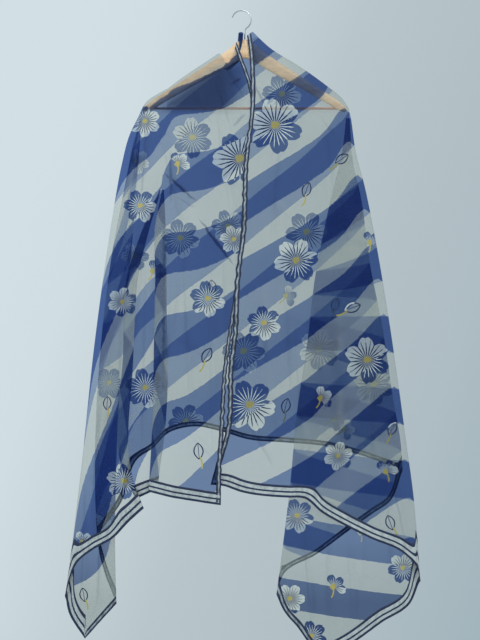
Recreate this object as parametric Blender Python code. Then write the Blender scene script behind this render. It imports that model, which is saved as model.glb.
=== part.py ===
# Dupatta stole hung on a wooden coat hanger as a shawl. Its middle falls behind the hanger, and both halves
# come forward over the arms and hang down the front, so that the ends are the two tails.
# Metres, +Z up, the front faces -Y. The origin is inside the top of the hook's bend, where a rail bears on it.
# The tables are in millimetres.

import math
from bisect import bisect_right

import bmesh
import bpy
from mathutils import Vector

MM = 0.001
CLOTH_WALL = 1.0
SEAM_GAP = 0.3
EDGING_WIDTH = 11.0  # narrow border of the long edges
BORDER_WIDTH = 26.0  # banded border of the short ends
SHOULDER_ROLL = 8.0  # drop over which the cloth turns over the arms
STEEPEST_BORDER = 3.5  # most that a slanted hem stretches its border down the cloth

ARM_CENTRE_X = 7.5
BAR_RADIUS = 2.8
BAR_HEIGHT = -209.0
BAR_SEAT_OUT = 204.0  # the bar's end, from the hanger's middle
WIRE_RADIUS = 1.5
HOOK_RADIUS = 20.5
STEM_LOW = -78.0
FIT = 0.3

TURN_STEPS = 3  # columns in each quarter turn at a fold
TURN_SHARE = 0.2  # share of a stretch's own u or v that its quarter turn takes
YOKE_SHARE = 0.36  # share of v above the height where the inner folds begin
YOKE_ROWS = 2
ROWS = 14  # rows below that height, the same on every stretch, so that the walls meet at their folds
LOWEST_ROW = 0.9  # share of v below which only the border's own row is left
CROWDED = 0.012  # columns closer than this share make way for a stretch's own places

# Lines that run down the cloth, from the top. Columns: x, depth (front is minus), height, turn, where turn is
# half the distance between the two layers that meet at a fold, and nought on a free edge.
FALLS = {
    "right centre edge": [
        (12, -9, -54, 0), (17, -10, -95, 0), (19, -13, -138, 0), (19, -13, -209, 0), (5, -13.5, -331, 0),
        (-2, -15, -492, 0), (-10, -15, -548, 0), (-15, -14.5, -604, 0), (-18, -13.5, -686, 0),
        (-27, -12, -761, 0), (-34, -9, -901, 0), (-57, -8, -983, 0), (-66, -8, -1017, 0),
    ],
    "left centre edge": [
        (-10, -9, -69, 0), (3, -9, -105, 0), (16, -9, -140, 0), (26, -9, -187, 0), (13, -9.5, -331, 0),
        (4, -11, -492, 0), (-3, -11, -548, 0), (-8, -10.5, -600, 0), (-20, -12.5, -686, 0),
        (-30, -14, -761, 0), (-38, -16, -901, 0), (-43, -17, -983, 0), (-44, -17, -1060, 0),
    ],
    "right side fold": [
        (231, 0, -209, 9), (235, -4.5, -230, 2.5), (244, -7, -295, 4), (266, -10, -385, 5.5),
        (287, -13, -492, 7), (309, -15, -621, 8), (352, -18, -922, 8), (369, -18, -1051, 8),
        (382, -17, -1223, 7),
    ],
    "right inner fold": [
        (225, 0, -230, 2), (218, 0, -292, 3), (190, -1, -413, 5), (158, -2, -574, 6.5), (141, -3, -716, 7),
        (119, -3, -864, 7), (106, -3, -1004, 7), (76, -3, -1253, 6),
    ],
    "right back fold": [
        (231, 0, -209, 9), (233, 4.5, -230, 2.5), (240, 6, -320, 3.5), (257, 7.5, -396, 4.5),
        (276, 9, -535, 5.5), (306, 10, -690, 6), (326, 10, -826, 6), (345, 10, -944, 6), (347, 10, -987, 6),
    ],
    "left pleat front fold": [
        (-157.6, -9, -165.7, 0), (-163.4, -14, -277, 0), (-168.2, -18, -374, 1.5), (-186, -21, -477, 3),
        (-184, -24, -557, 4), (-186, -24, -673, 4), (-191, -24, -903, 4), (-198, -24, -1030, 4),
    ],
    "left pleat inner fold": [
        (-166, -11, -385, 2), (-162, -14.5, -471, 2.5), (-160, -17, -621, 3), (-161, -17, -873, 3),
        (-180, -17, -1026, 3),
    ],
    "left pleat hidden fold": [
        (-175, -11, -385, 2), (-199, -14.5, -439, 2.5), (-223, -17, -500, 3), (-244, -17, -568, 3),
        (-253, -17, -729, 3), (-253, -17, -987, 3), (-226, -17, -1047, 3),
    ],
    "left pleat lip fold": [
        (-158.6, -9, -166.3, 0), (-164.6, -14, -277, 0), (-170.8, -18, -374, 1.5), (-197, -21, -471, 3),
        (-220, -24, -568, 4), (-227, -24, -664, 4), (-231, -24, -750, 4), (-230, -24, -1008, 4),
        (-209, -24, -1066, 4),
    ],
    "left side fold": [
        (-214, 0, -211, 9), (-223, -4.5, -231, 2.5), (-238, -7, -262, 4), (-257, -10, -333, 5.5),
        (-272, -13, -417, 7), (-289, -15, -527, 7), (-313, -16, -705, 7), (-349, -16, -1043, 7),
        (-369, -16, -1200, 7), (-377, -15, -1256, 6),
    ],
    "left inner fold": [
        (-214, 0, -231, 2), (-221, -1, -320, 4), (-236, -2, -514, 5), (-253, -3, -707, 5.5),
        (-266, -3.5, -901, 5.5), (-271, -3.5, -1163, 5.5), (-269, -3.5, -1273, 5),
    ],
    "left back fold": [
        (-214, 0, -211, 9), (-219, 4.5, -231, 2.5), (-231, 6, -277, 3.5), (-253, 7, -385, 4.5),
        (-276, 8, -503, 5.5), (-304, 8, -729, 6), (-315, 8, -922, 6), (-315, 8, -1051, 6),
        (-311, 8, -1129, 6),
    ],
}

# Lines that run across the cloth, from left to right. Columns: x, depth, height. Only the top lines use the
# depth: nought is the ridge over the arms.
SPANS = {
    "left shoulder outer": [(-214, 0, -211), (-205, 0, -196), (-180, 0, -178), (-158.6, 0, -166.3)],
    "left shoulder": [(-157.6, 0, -165.7), (-126, 0, -142), (-78, 0, -110), (-48, 0, -90)],
    "left neck front": [
        (-48, 0, -90), (-44, -7, -94), (-39, -9, -101), (-31, -9, -115), (-18, -9, -95), (-10, -9, -69),
    ],
    "neck back": [
        (-48, 0, -90), (-44, 7.5, -94), (-40, 9, -99), (-27, 9, -108), (-8, 9, -94), (4, 9, -82),
        (14, 9, -69), (22, 8, -60), (30, 4, -55), (38, 0, -58),
    ],
    "right shoulder back": [
        (38, 0, -58), (59, 0, -77), (124, 0, -118), (184, 0, -161), (216, 0, -187), (231, 0, -209),
    ],
    "right neck front": [(12, -6, -54), (24, 0, -44)],
    "right shoulder": [
        (24, 0, -44), (59, 0, -77), (124, 0, -118), (184, 0, -161), (216, 0, -187), (231, 0, -209),
    ],
    "right front hem": [
        (-66, 0, -1017), (-42, 0, -1019), (-1, 0, -1032), (98, 0, -1043), (134, 0, -1045), (171, 0, -1075),
        (225, 0, -1105), (270, 0, -1127), (345, 0, -1161), (375, 0, -1193), (382, 0, -1223),
    ],
    "right tail edge": [(76, 0, -1253), (89, 0, -1284), (124, 0, -1327), (141, 0, -1352), (173, 0, -1393)],
    "right tail hem": [(173, 0, -1393), (244, 0, -1352), (300, 0, -1312), (360, 0, -1273), (382, 0, -1223)],
    "right inner edge": [
        (76, 0, -1253), (90, 0, -1212), (164, 0, -1167), (233, 0, -1116), (285, 0, -1079), (319, 0, -1055),
        (347, 0, -987),
    ],
    "back edge": [
        (-311, 0, -1129), (-261, 0, -1060), (-220, 0, -960), (-195, 0, -944), (-156, 0, -907),
        (-102, 0, -894), (-44, 0, -905), (12, 0, -922), (98, 0, -929), (184, 0, -937), (244, 0, -952),
        (347, 0, -987),
    ],
    "left inner edge": [(-311, 0, -1129), (-303, 0, -1178), (-296, 0, -1202), (-269, 0, -1273)],
    "left tail hem": [(-377, 0, -1256), (-370, 0, -1290), (-335, 0, -1346)],
    "left tail edge": [(-335, 0, -1346), (-269, 0, -1273)],
    "left outer hem": [
        (-377, 0, -1256), (-369, 0, -1226), (-349, 0, -1180), (-315, 0, -1152), (-274, 0, -1129),
        (-240, 0, -1094), (-209, 0, -1066),
    ],
    "left front hem": [(-198, 0, -1030), (-164, 0, -1038), (-111, 0, -1049), (-44, 0, -1060)],
}

# Each stretch of cloth: the falls at its two sides, with -1 where it lies in front of that fold, +1 behind
# and 0 on a free edge, its top and bottom spans, its middle's bulge, its mesh columns, the heights on its
# two sides that are level with each other, and the places along its top, by x, with a column of their own.
STRETCHES = {
    "back_panel": dict(
        left="left back fold", left_side=1, left_from=-231, right="right back fold", right_side=1, right_from=-230,
        top=["left shoulder outer", "left shoulder", "neck back", "right shoulder back"],
        bottom=["back edge"], bulge=5, columns=18, stops=[-48, -44, -40, -27, 4, 14, 22, 30, 38],
    ),
    "right_front": dict(
        left="right centre edge", left_side=0, left_from=-190, right="right side fold", right_side=-1,
        right_from=-230,
        top=["right neck front", "right shoulder"], bottom=["right front hem"], bulge=-7, columns=13,
    ),
    "right_under_fold": dict(
        left="right inner fold", left_side=-1, left_from=-230, right="right side fold", right_side=1,
        right_from=-230,
        bottom=["right tail edge", "right tail hem"], bulge=-2, columns=6,
    ),
    "right_inner_fold": dict(
        left="right inner fold", left_side=1, left_from=-230, right="right back fold", right_side=-1,
        right_from=-230,
        bottom=["right inner edge"], bulge=1, columns=5,
    ),
    "left_front": dict(
        left="left pleat front fold", left_side=-1, left_from=-385, right="left centre edge", right_side=0,
        right_from=-340,
        top=["left shoulder", "left neck front"], bottom=["left front hem"], bulge=-5, columns=7,
        stops=[-48, -44, -39, -31, -18],
    ),
    "left_pleat_return": dict(
        left="left pleat front fold", left_side=1, left_from=-385, right="left pleat inner fold",
        right_side=-1, right_from=-385, bulge=0, columns=1,
    ),
    "left_pleat_recess": dict(
        left="left pleat hidden fold", left_side=1, left_from=-385, right="left pleat inner fold",
        right_side=1, right_from=-385, bulge=1, columns=3,
    ),
    "left_pleat_lip": dict(
        left="left pleat hidden fold", left_side=-1, left_from=-385, right="left pleat lip fold",
        right_side=1, right_from=-385, bulge=0, columns=1,
    ),
    "left_outer_front": dict(
        left="left side fold", left_side=-1, left_from=-231, right="left pleat lip fold", right_side=-1,
        right_from=-385,
        top=["left shoulder outer"], bottom=["left outer hem"], bulge=-4, columns=6,
    ),
    "left_under_fold": dict(
        left="left side fold", left_side=1, left_from=-231, right="left inner fold", right_side=-1,
        right_from=-231,
        bottom=["left tail hem", "left tail edge"], bulge=-1, columns=5,
    ),
    "left_inner_fold": dict(
        left="left back fold", left_side=-1, left_from=-231, right="left inner fold", right_side=1,
        right_from=-231,
        bottom=["left inner edge"], bulge=1, columns=3,
    ),
}

# Soft flutes that run down a stretch. Columns: place across it, half width, depth, and where along its
# length the flute is full, from its top to its hem.
FLUTES = {
    "back_panel": [(0.20, 0.06, 7, 0.7), (0.37, 0.05, -5, 0.8), (0.56, 0.06, 6, 0.9), (0.76, 0.05, -4, 0.7)],
    "right_front": [(0.26, 0.10, -6, 0.8), (0.52, 0.09, 5, 0.9), (0.78, 0.07, -5, 0.6)],
    "left_front": [(0.34, 0.12, -6, 0.8), (0.68, 0.10, 5, 0.7)],
    "left_outer_front": [(0.45, 0.14, -6, 0.8)],
    "right_under_fold": [(0.55, 0.14, -3, 0.9)],
    "left_under_fold": [(0.50, 0.16, -3, 0.9)],
}

# Borders: the stretch that each finishes, and the edge it lies on. A tail's tip splits its bottom edge in
# two, before and after the tip.
BORDERS = {
    "right_front_border": dict(of="right_front", edge="bottom"),
    "right_tail_border": dict(of="right_under_fold", edge="bottom", after_tip=True),
    "right_tail_edging": dict(of="right_under_fold", edge="bottom", before_tip=True),
    "right_inner_edging": dict(of="right_inner_fold", edge="bottom"),
    "back_edging": dict(of="back_panel", edge="bottom"),
    "left_inner_edging": dict(of="left_inner_fold", edge="bottom"),
    "left_tail_border": dict(of="left_under_fold", edge="bottom", before_tip=True),
    "left_tail_edging": dict(of="left_under_fold", edge="bottom", after_tip=True),
    "left_outer_border": dict(of="left_outer_front", edge="bottom"),
    "left_pleat_lip_border": dict(of="left_pleat_lip", edge="bottom"),
    "left_pleat_recess_border": dict(of="left_pleat_recess", edge="bottom"),
    "left_pleat_return_border": dict(of="left_pleat_return", edge="bottom"),
    "left_front_border": dict(of="left_front", edge="bottom"),
    "right_centre_edging": dict(of="right_front", edge="left"),
    "left_centre_edging": dict(of="left_front", edge="right"),
}

# Widths of the borders on the bottom edge of each stretch, one for each of its bottom spans.
BOTTOM_WIDTHS = {
    "back_panel": [EDGING_WIDTH],
    "right_front": [BORDER_WIDTH],
    "right_under_fold": [EDGING_WIDTH, BORDER_WIDTH],
    "right_inner_fold": [EDGING_WIDTH],
    "left_front": [BORDER_WIDTH],
    "left_pleat_return": [BORDER_WIDTH],
    "left_pleat_recess": [BORDER_WIDTH],
    "left_pleat_lip": [BORDER_WIDTH],
    "left_outer_front": [BORDER_WIDTH],
    "left_under_fold": [BORDER_WIDTH, EDGING_WIDTH],
    "left_inner_fold": [EDGING_WIDTH],
}

# Wooden arm. Columns: distance out from the hanger's middle, top, bottom, thickness.
ARM = [
    (0.15, -60, -101, 12), (18, -67, -108, 12), (36, -83, -119, 12), (56, -98, -131, 12),
    (84, -117, -146, 11.5), (112, -135, -161, 11), (150, -160, -183, 10.5), (180, -179, -200, 10),
    (194, -188, -210, 10), (204, -195, -215, 9.5), (213, -203, -217, 7.5), (217.5, -208, -215, 4.5),
    (219, -211, -213, 2),
]
ARM_SIDES = 16
ARM_SQUARENESS = 3.2

# The bunched neck edge beside the hook. Columns: x of its middle, depth, height, width, fullness.
NECK_GATHER = [
    (-3, 10.5, -88, 12, 2), (-3, 9.5, -72, 11, 2.5), (-2, 6, -54, 10, 3), (-1, 0, -46, 10, 3.5),
    (-1, -6.5, -52, 9.5, 3.5), (-1, -10.5, -64, 8, 3), (-2, -10.5, -76, 5, 2.5), (-3, -10, -85, 2, 1.5),
]

COLOURS = {
    "organza": (0.10, 0.16, 0.38, 1.0),
    "satin border": (0.55, 0.60, 0.62, 1.0),
    "varnished wood": (0.55, 0.36, 0.20, 1.0),
    "bright steel": (0.70, 0.71, 0.72, 1.0),
}


def middle_of(is_low):
    """Share between 0 and 1 where a test stops holding."""
    low = 0.0
    high = 1.0
    for _ in range(30):
        middle = 0.5 * (low + high)
        if is_low(middle):
            low = middle
        else:
            high = middle
    return 0.5 * (low + high)


def turn_reach(turn, width):
    """How far across the front view a quarter turn reaches: never so far that the wall would pinch."""
    return min(max(min(1.2 * turn + 2.0, turn * turn / 0.8), 3.0), 0.35 * width)


class Line:
    """A line through the rows of a table, smooth in front view, read by the share of its length."""

    STEPS = 20

    def __init__(self, rows):
        rows = [Vector(row) for row in rows]
        reach = [0.0]
        for before, after in zip(rows, rows[1:]):
            reach.append(reach[-1] + math.dist((before[0], before[2]), (after[0], after[2])))
        slopes = [self.slope(rows, reach, index) for index in range(len(rows))]
        self.points = [rows[0]]
        for index in range(len(rows) - 1):
            span = reach[index + 1] - reach[index]
            for step in range(1, self.STEPS + 1):
                t = step / self.STEPS
                point = rows[index] * (2 * t**3 - 3 * t**2 + 1)
                point = point + slopes[index] * (span * (t**3 - 2 * t**2 + t))
                point = point + rows[index + 1] * (3 * t**2 - 2 * t**3)
                point = point + slopes[index + 1] * (span * (t**3 - t**2))
                straight = rows[index].lerp(rows[index + 1], t)
                for column in range(len(point)):
                    if column not in (0, 2):
                        point[column] = straight[column]
                self.points.append(point)
        self.measure()

    @staticmethod
    def slope(rows, reach, index):
        low = max(index - 1, 0)
        high = min(index + 1, len(rows) - 1)
        if low == index or high == index:
            return (rows[high] - rows[low]) / (reach[high] - reach[low])
        before = (rows[index] - rows[low]) / (reach[index] - reach[low])
        after = (rows[high] - rows[index]) / (reach[high] - reach[index])
        share = (reach[index] - reach[low]) / (reach[high] - reach[low])
        return before * (1 - share) + after * share

    def measure(self):
        self.reach = [0.0]
        for before, after in zip(self.points, self.points[1:]):
            self.reach.append(self.reach[-1] + math.dist((before[0], before[2]), (after[0], after[2])))
        self.length = self.reach[-1]

    def at(self, share):
        wanted = min(max(share, 0.0), 1.0) * self.length
        index = min(bisect_right(self.reach, wanted), len(self.points) - 1)
        start = self.reach[index - 1]
        part = (wanted - start) / max(self.reach[index] - start, 1e-9)
        return self.points[index - 1].lerp(self.points[index], part)

    def share_at(self, height):
        """Share of the line's length above a height."""
        return middle_of(lambda share: self.at(share)[2] > height)

    @staticmethod
    def joined(lines):
        whole = Line.__new__(Line)
        whole.points = list(lines[0].points)
        for line in lines[1:]:
            whole.points += line.points[1:]
        whole.measure()
        whole.corner = lines[0].length / whole.length if len(lines) == 2 else None
        return whole


class Stretch:
    """One run of cloth between two falls. u runs from left to right and v from top to hem, both 0 to 1."""

    def __init__(self, name, left, right, left_side, right_side, left_from, right_from, bulge, columns,
                 top=None, bottom=None, stops=()):
        self.name = name
        self.left = Line(FALLS[left])
        self.right = Line(FALLS[right])
        self.left_side = left_side
        self.right_side = right_side
        self.left_from = self.left.share_at(left_from)
        self.right_from = self.right.share_at(right_from)
        self.bulge = bulge
        self.columns = columns
        self.stops = stops
        self.top = Line.joined([Line(SPANS[span]) for span in top]) if top else None
        self.bottom = Line.joined([Line(SPANS[span]) for span in bottom]) if bottom else None
        self.flutes = FLUTES.get(name, [])
        self.layer = -1 if left_side + right_side < 0 else 1

    def down(self, v):
        """Points of the two falls at row v, the share of the way down, and the turn over the arm."""
        turned = 1.0
        if not self.top:
            shares = [start + (1 - start) * v for start in (self.left_from, self.right_from)]
            return self.left.at(shares[0]), self.right.at(shares[1]), v, turned
        shares = []
        for line, start in ((self.left, self.left_from), (self.right, self.right_from)):
            roll = SHOULDER_ROLL / line.length
            if v < TURN_SHARE:
                angle = 0.5 * math.pi * v / TURN_SHARE
                turned = math.sin(angle)
                shares.append(roll * (1 - math.cos(angle)))
            elif v < YOKE_SHARE:
                shares.append(roll + (start - roll) * (v - TURN_SHARE) / (YOKE_SHARE - TURN_SHARE))
            else:
                shares.append(start + (1 - start) * (v - YOKE_SHARE) / (1 - YOKE_SHARE))
        return self.left.at(shares[0]), self.right.at(shares[1]), 0.5 * (shares[0] + shares[1]), turned

    def across(self, u, v):
        """Share across the stretch at column u, and how far the two quarter turns have come round."""
        left, right = self.down(v)[:2]
        width = math.dist((left[0], left[2]), (right[0], right[2]))
        roll_left = turn_reach(left[3], width) if self.left_side else 0.0
        roll_right = turn_reach(right[3], width) if self.right_side else 0.0
        share_left = TURN_SHARE if self.left_side else 0.0
        share_right = TURN_SHARE if self.right_side else 0.0
        turned_left = 1.0
        turned_right = 1.0
        if u < share_left:
            angle = 0.5 * math.pi * u / share_left
            distance = roll_left * (1 - math.cos(angle))
            turned_left = math.sin(angle)
        elif u > 1 - share_right:
            angle = 0.5 * math.pi * (1 - u) / share_right
            distance = width - roll_right * (1 - math.cos(angle))
            turned_right = math.sin(angle)
        else:
            middle = (u - share_left) / (1 - share_left - share_right)
            distance = roll_left + (width - roll_left - roll_right) * middle
        inset = 0.5 * SEAM_GAP
        low = inset if self.left_side else 0.0
        high = width - inset if self.right_side else width
        return min(max(distance, low), high) / width, turned_left, turned_right

    def point(self, u, v):
        left, right, t, turned_top = self.down(v)
        s, turned_left, turned_right = self.across(u, v)
        place = {}
        for axis in (0, 2):
            place[axis] = (1 - s) * left[axis] + s * right[axis]
            if self.top:
                straight = (1 - s) * self.left.at(0)[axis] + s * self.right.at(0)[axis]
                place[axis] += (1 - t) * (self.top.at(s)[axis] - straight)
            if self.bottom:
                straight = (1 - s) * self.left.at(1)[axis] + s * self.right.at(1)[axis]
                place[axis] += t * (self.bottom.at(s)[axis] - straight)
        depth_left = left[1] + self.left_side * left[3]
        depth_right = right[1] + self.right_side * right[3]
        depth = depth_left + (depth_right - depth_left) * s
        depth += self.bulge * min(3 * t, 1) * 4 * s * (1 - s)
        depth += self.flute(s, t)
        seam_left = left[1] + 0.5 * SEAM_GAP * self.left_side
        seam_right = right[1] + 0.5 * SEAM_GAP * self.right_side
        depth = seam_left + (depth - seam_left) * turned_left
        depth = seam_right + (depth - seam_right) * turned_right
        if self.top:
            ridge = self.top.at(s)[1] + 0.5 * SEAM_GAP * self.layer
            depth = ridge + (depth - ridge) * turned_top
        return Vector((place[0], depth, place[2]))

    def flute(self, s, t):
        total = 0.0
        for place, half_width, depth, full in self.flutes:
            rise = min(max(t / full, 0.0), 1.0)
            total += depth * rise * rise * (3 - 2 * rise) * math.exp(-(((s - place) / half_width) ** 2))
        return total

    def normal(self, u, v):
        """Direction of the wall's thickness: towards the front where the cloth is flat, outward at a fold."""
        step = 0.002
        reach = TURN_SHARE / TURN_STEPS if u <= 0 or u >= 1 else step
        along = self.point(min(u + reach, 1), v) - self.point(max(u - reach, 0), v)
        down = self.point(u, min(v + step, 1)) - self.point(u, max(v - step, 0))
        flat = -along.cross(down).normalized()
        left, right = self.down(v)[:2]
        if self.left_side and u <= 0:
            run = self.down(min(v + 0.01, 1))[0] - self.down(max(v - 0.01, 0))[0]
            outward = Vector((run[2], 0, -run[0])).normalized() * -self.left_side
            flat = flat.lerp(outward, min(0.5 * left[3], 1))
        if self.right_side and u >= 1:
            run = self.down(min(v + 0.01, 1))[1] - self.down(max(v - 0.01, 0))[1]
            outward = Vector((-run[2], 0, run[0])).normalized() * -self.right_side
            flat = flat.lerp(outward, min(0.5 * right[3], 1))
        if self.top and v <= 0:
            s = self.across(u, v)[0]
            run = self.top.at(s + 0.01) - self.top.at(s - 0.01)
            outward = Vector((-run[2], 0, run[0])).normalized() * -self.layer
            flat = flat.lerp(outward, max(1 - abs(self.top.at(s)[1]) / 8.0, 0))
        return flat.normalized()

    def border_drop(self, u):
        """Share of v that the stretch's bottom border takes at column u."""
        widths = BOTTOM_WIDTHS[self.name]
        s = self.across(u, 1)[0]
        corner = self.bottom.corner if self.bottom and len(widths) == 2 else None
        edge = self.bottom or Line([self.left.at(1), self.right.at(1)])
        drops = []
        for place in (s - 0.025, s, s + 0.025):
            place = min(max(place, 0.001), 0.999)
            width = widths[0] if corner is None or place < corner else widths[1]
            run = edge.at(place + 0.012) - edge.at(place - 0.012)
            slant = math.hypot(run[0], run[2]) / max(abs(run[0]), 1e-6)
            drops.append(width * min(slant, STEEPEST_BORDER))
        return sum(drops) / len(drops) * self.share_of_length(u)

    def share_of_length(self, u):
        """Share of v in a millimetre down column u, near its hem."""
        return 0.2 / (self.point(u, 1.0) - self.point(u, 0.8)).length

    def side_margin(self, v):
        """Share of the stretch's width, in u, that the edging of its free side takes at row v."""
        if self.left_side and self.right_side:
            return 0.0
        left, right = self.down(v)[:2]
        width = math.dist((left[0], left[2]), (right[0], right[2]))
        return EDGING_WIDTH / width * (1 - TURN_SHARE)

    def column_at(self, share, v):
        """Column that lies at a share of the stretch's width, at row v."""
        return middle_of(lambda u: self.across(u, v)[0] < share)

    def tip(self):
        """Column of the tail's tip."""
        return self.column_at(self.bottom.corner, 1)

    def spread(self):
        """Columns of the stretch's mesh: close together in its turns, even between."""
        start = TURN_SHARE if self.left_side else 0.0
        end = 1 - TURN_SHARE if self.right_side else 1.0
        places = [start * step / TURN_STEPS for step in range(TURN_STEPS)] if start else []
        places += [start + (end - start) * step / self.columns for step in range(self.columns + 1)]
        if end < 1:
            places += [end + (1 - end) * step / TURN_STEPS for step in range(1, TURN_STEPS + 1)]
        own = [self.column_at(middle_of(lambda s: self.top.at(s)[0] < x), 0) for x in self.stops]
        if self.bottom and self.bottom.corner is not None:
            own.append(self.tip())
        for place in own:
            crowded = [u for u in places if 0 < u < 1 and u not in own and abs(u - place) < CROWDED]
            places = [u for u in places if u not in crowded] + [place]
        return sorted(places)

    def levels(self):
        """Rows of the stretch's mesh, down to its bottom border."""
        if not self.top:
            places = [row / ROWS for row in range(ROWS)]
        else:
            places = [TURN_SHARE * step / TURN_STEPS for step in range(TURN_STEPS)]
            places += [TURN_SHARE + (YOKE_SHARE - TURN_SHARE) * row / YOKE_ROWS for row in range(YOKE_ROWS)]
            places += [YOKE_SHARE + (1 - YOKE_SHARE) * row / ROWS for row in range(ROWS)]
        return [place for place in places if place < LOWEST_ROW]

    def inner(self, u, v):
        """Column moved in from the edging of the free side."""
        margin = self.side_margin(v)
        if not self.left_side:
            return margin + u * (1 - margin)
        if not self.right_side:
            return u * (1 - margin)
        return u

    def last_row(self):
        """The places along the panel's bottom, where its border begins."""
        places = []
        for base in self.spread():
            v = 1.0
            for _ in range(4):
                u = self.inner(base, v)
                v = 1 - self.border_drop(u)
            places.append((u, v))
        return places

    def seam_row(self):
        """The places along the top of the bottom border, a seam's gap below the panel."""
        places = self.last_row()
        if not self.left_side:
            places.insert(0, (0.0, 1 - self.border_drop(0.0)))
        if not self.right_side:
            places.append((1.0, 1 - self.border_drop(1.0)))
        points = [self.point(u, v) for u, v in places]
        slants = []
        for before, after in zip(points, points[1:]):
            slants.append(math.hypot(after[0] - before[0], after[2] - before[2]) / abs(after[0] - before[0]))
        row = []
        for index, (u, v) in enumerate(places):
            slant = max(slants[max(index - 1, 0) : index + 1])
            row.append((u, v + SEAM_GAP * min(slant, 8) * self.share_of_length(u)))
        return row


def material(name):
    made = bpy.data.materials.get(name)
    if made:
        return made
    made = bpy.data.materials.new(name)
    made.use_nodes = True
    shader = made.node_tree.nodes["Principled BSDF"]
    shader.inputs["Base Color"].default_value = COLOURS[name]
    shader.inputs["Roughness"].default_value = 0.25 if "steel" in name else 0.6
    shader.inputs["Metallic"].default_value = 1.0 if "steel" in name else 0.0
    return made


def finish(name, mesh, finish_name):
    bmesh.ops.triangulate(mesh, faces=mesh.faces[:])
    bmesh.ops.recalc_face_normals(mesh, faces=mesh.faces[:])
    data = bpy.data.meshes.new(name)
    mesh.to_mesh(data)
    mesh.free()
    data.shade_smooth()
    data.set_sharp_from_angle(angle=math.radians(40))
    made = bpy.data.objects.new(name, data)
    made.data.materials.append(material(finish_name))
    bpy.context.scene.collection.objects.link(made)
    return made


def wall(name, stretch, grid, finish_name, lift=0.0):
    """A closed wall through a grid of (u, v) places on a stretch, lifted off it towards the front."""
    mesh = bmesh.new()
    sheets = []
    for side in (-0.5, 0.5):
        sheet = []
        for row in grid:
            line = []
            for u, v in row:
                place = stretch.point(u, v) + stretch.normal(u, v) * (lift + side * CLOTH_WALL)
                line.append(mesh.verts.new(place * MM))
            sheet.append(line)
        sheets.append(sheet)
    back, front = sheets
    for sheet in sheets:
        for upper, lower in zip(sheet, sheet[1:]):
            for index in range(len(upper) - 1):
                mesh.faces.new((upper[index], upper[index + 1], lower[index]))
                mesh.faces.new((upper[index + 1], lower[index + 1], lower[index]))
    rims = []
    for sheet in sheets:
        rim = list(sheet[0])
        rim += [row[-1] for row in sheet[1:]]
        rim += sheet[-1][-2::-1]
        rim += [row[0] for row in sheet[-2:0:-1]]
        rims.append(rim)
    count = len(rims[0])
    for index in range(count):
        after = (index + 1) % count
        mesh.faces.new((rims[0][index], rims[0][after], rims[1][after], rims[1][index]))
    return finish(name, mesh, finish_name)


def panel(name, stretch):
    grid = [[(stretch.inner(u, v), v) for u in stretch.spread()] for v in stretch.levels()]
    return wall(name, stretch, grid + [stretch.last_row()], "organza")


def bottom_border(name, stretch, before_tip=False, after_tip=False):
    upper = stretch.seam_row()
    if before_tip or after_tip:
        tip = stretch.tip()
        left, right = stretch.down(1)[:2]
        gap = 0.8 * SEAM_GAP / math.dist((left[0], left[2]), (right[0], right[2]))
        near = min(upper, key=lambda place: abs(place[0] - tip))
        if before_tip:
            upper = [place for place in upper if place[0] < tip - CROWDED] + [(tip - gap, near[1])]
        else:
            upper = [(tip + gap, near[1])] + [place for place in upper if place[0] > tip + CROWDED]
    middle = [(u, 0.5 * (v + 1)) for u, v in upper]
    lower = [(u, 1.0) for u, v in upper]
    return wall(name, stretch, [upper, middle, lower], "satin border")


def side_edging(name, stretch, edge):
    free = 0.0 if edge == "left" else 1.0
    inner = [(stretch.inner(free, v), v) for v in stretch.levels()]
    end = stretch.last_row()[0 if edge == "left" else -1]
    inner.append(end)
    grid = []
    for u, v in inner:
        left, right = stretch.down(v)[:2]
        gap = SEAM_GAP / math.dist((left[0], left[2]), (right[0], right[2]))
        grid.append([(free, v), (u - gap, v)] if edge == "left" else [(u + gap, v), (free, v)])
    return wall(name, stretch, grid, "satin border")


def neck_edging(name, stretch):
    """The long edge's border along the back of the neck, on the outer side of the back panel."""
    low_x = SPANS["neck back"][2][0] - 1
    high_x = SPANS["neck back"][-2][0] - 1
    places = [u for u in stretch.spread() if low_x < stretch.point(u, TURN_SHARE)[0] < high_x]
    upper = [(u, TURN_SHARE + 0.02) for u in places]
    lower = [(u, YOKE_SHARE - 0.02) for u in places]
    return wall(name, stretch, [upper, lower], "satin border", lift=-(CLOTH_WALL + SEAM_GAP))


def superellipse(half_width, half_height, count, squareness):
    points = []
    for index in range(count):
        angle = 2 * math.pi * (index + 0.5) / count
        across = math.copysign(abs(math.cos(angle)) ** (2 / squareness), math.cos(angle))
        up = math.copysign(abs(math.sin(angle)) ** (2 / squareness), math.sin(angle))
        points.append((half_width * across, half_height * up))
    return points


def loft(mesh, rings):
    """Closed body through rings of points, with flat ends."""
    loops = [[mesh.verts.new(Vector(point) * MM) for point in ring] for ring in rings]
    count = len(loops[0])
    for before, after in zip(loops, loops[1:]):
        for index in range(count):
            following = (index + 1) % count
            mesh.faces.new((before[index], before[following], after[following], after[index]))
    mesh.faces.new(loops[0])
    mesh.faces.new(loops[-1])


def cutter(name, start, end, radius, sides):
    """A round tool between two points, kept out of the finished object."""
    start = Vector(start)
    end = Vector(end)
    bpy.ops.mesh.primitive_cylinder_add(
        vertices=sides, radius=radius * MM, depth=(end - start).length * MM,
        location=(start + end) * 0.5 * MM,
    )
    tool = bpy.context.object
    tool.name = name
    tool.rotation_mode = "QUATERNION"
    tool.rotation_quaternion = (end - start).to_track_quat("Z", "Y")
    tool.hide_render = True
    tool.display_type = "WIRE"
    return tool


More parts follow.
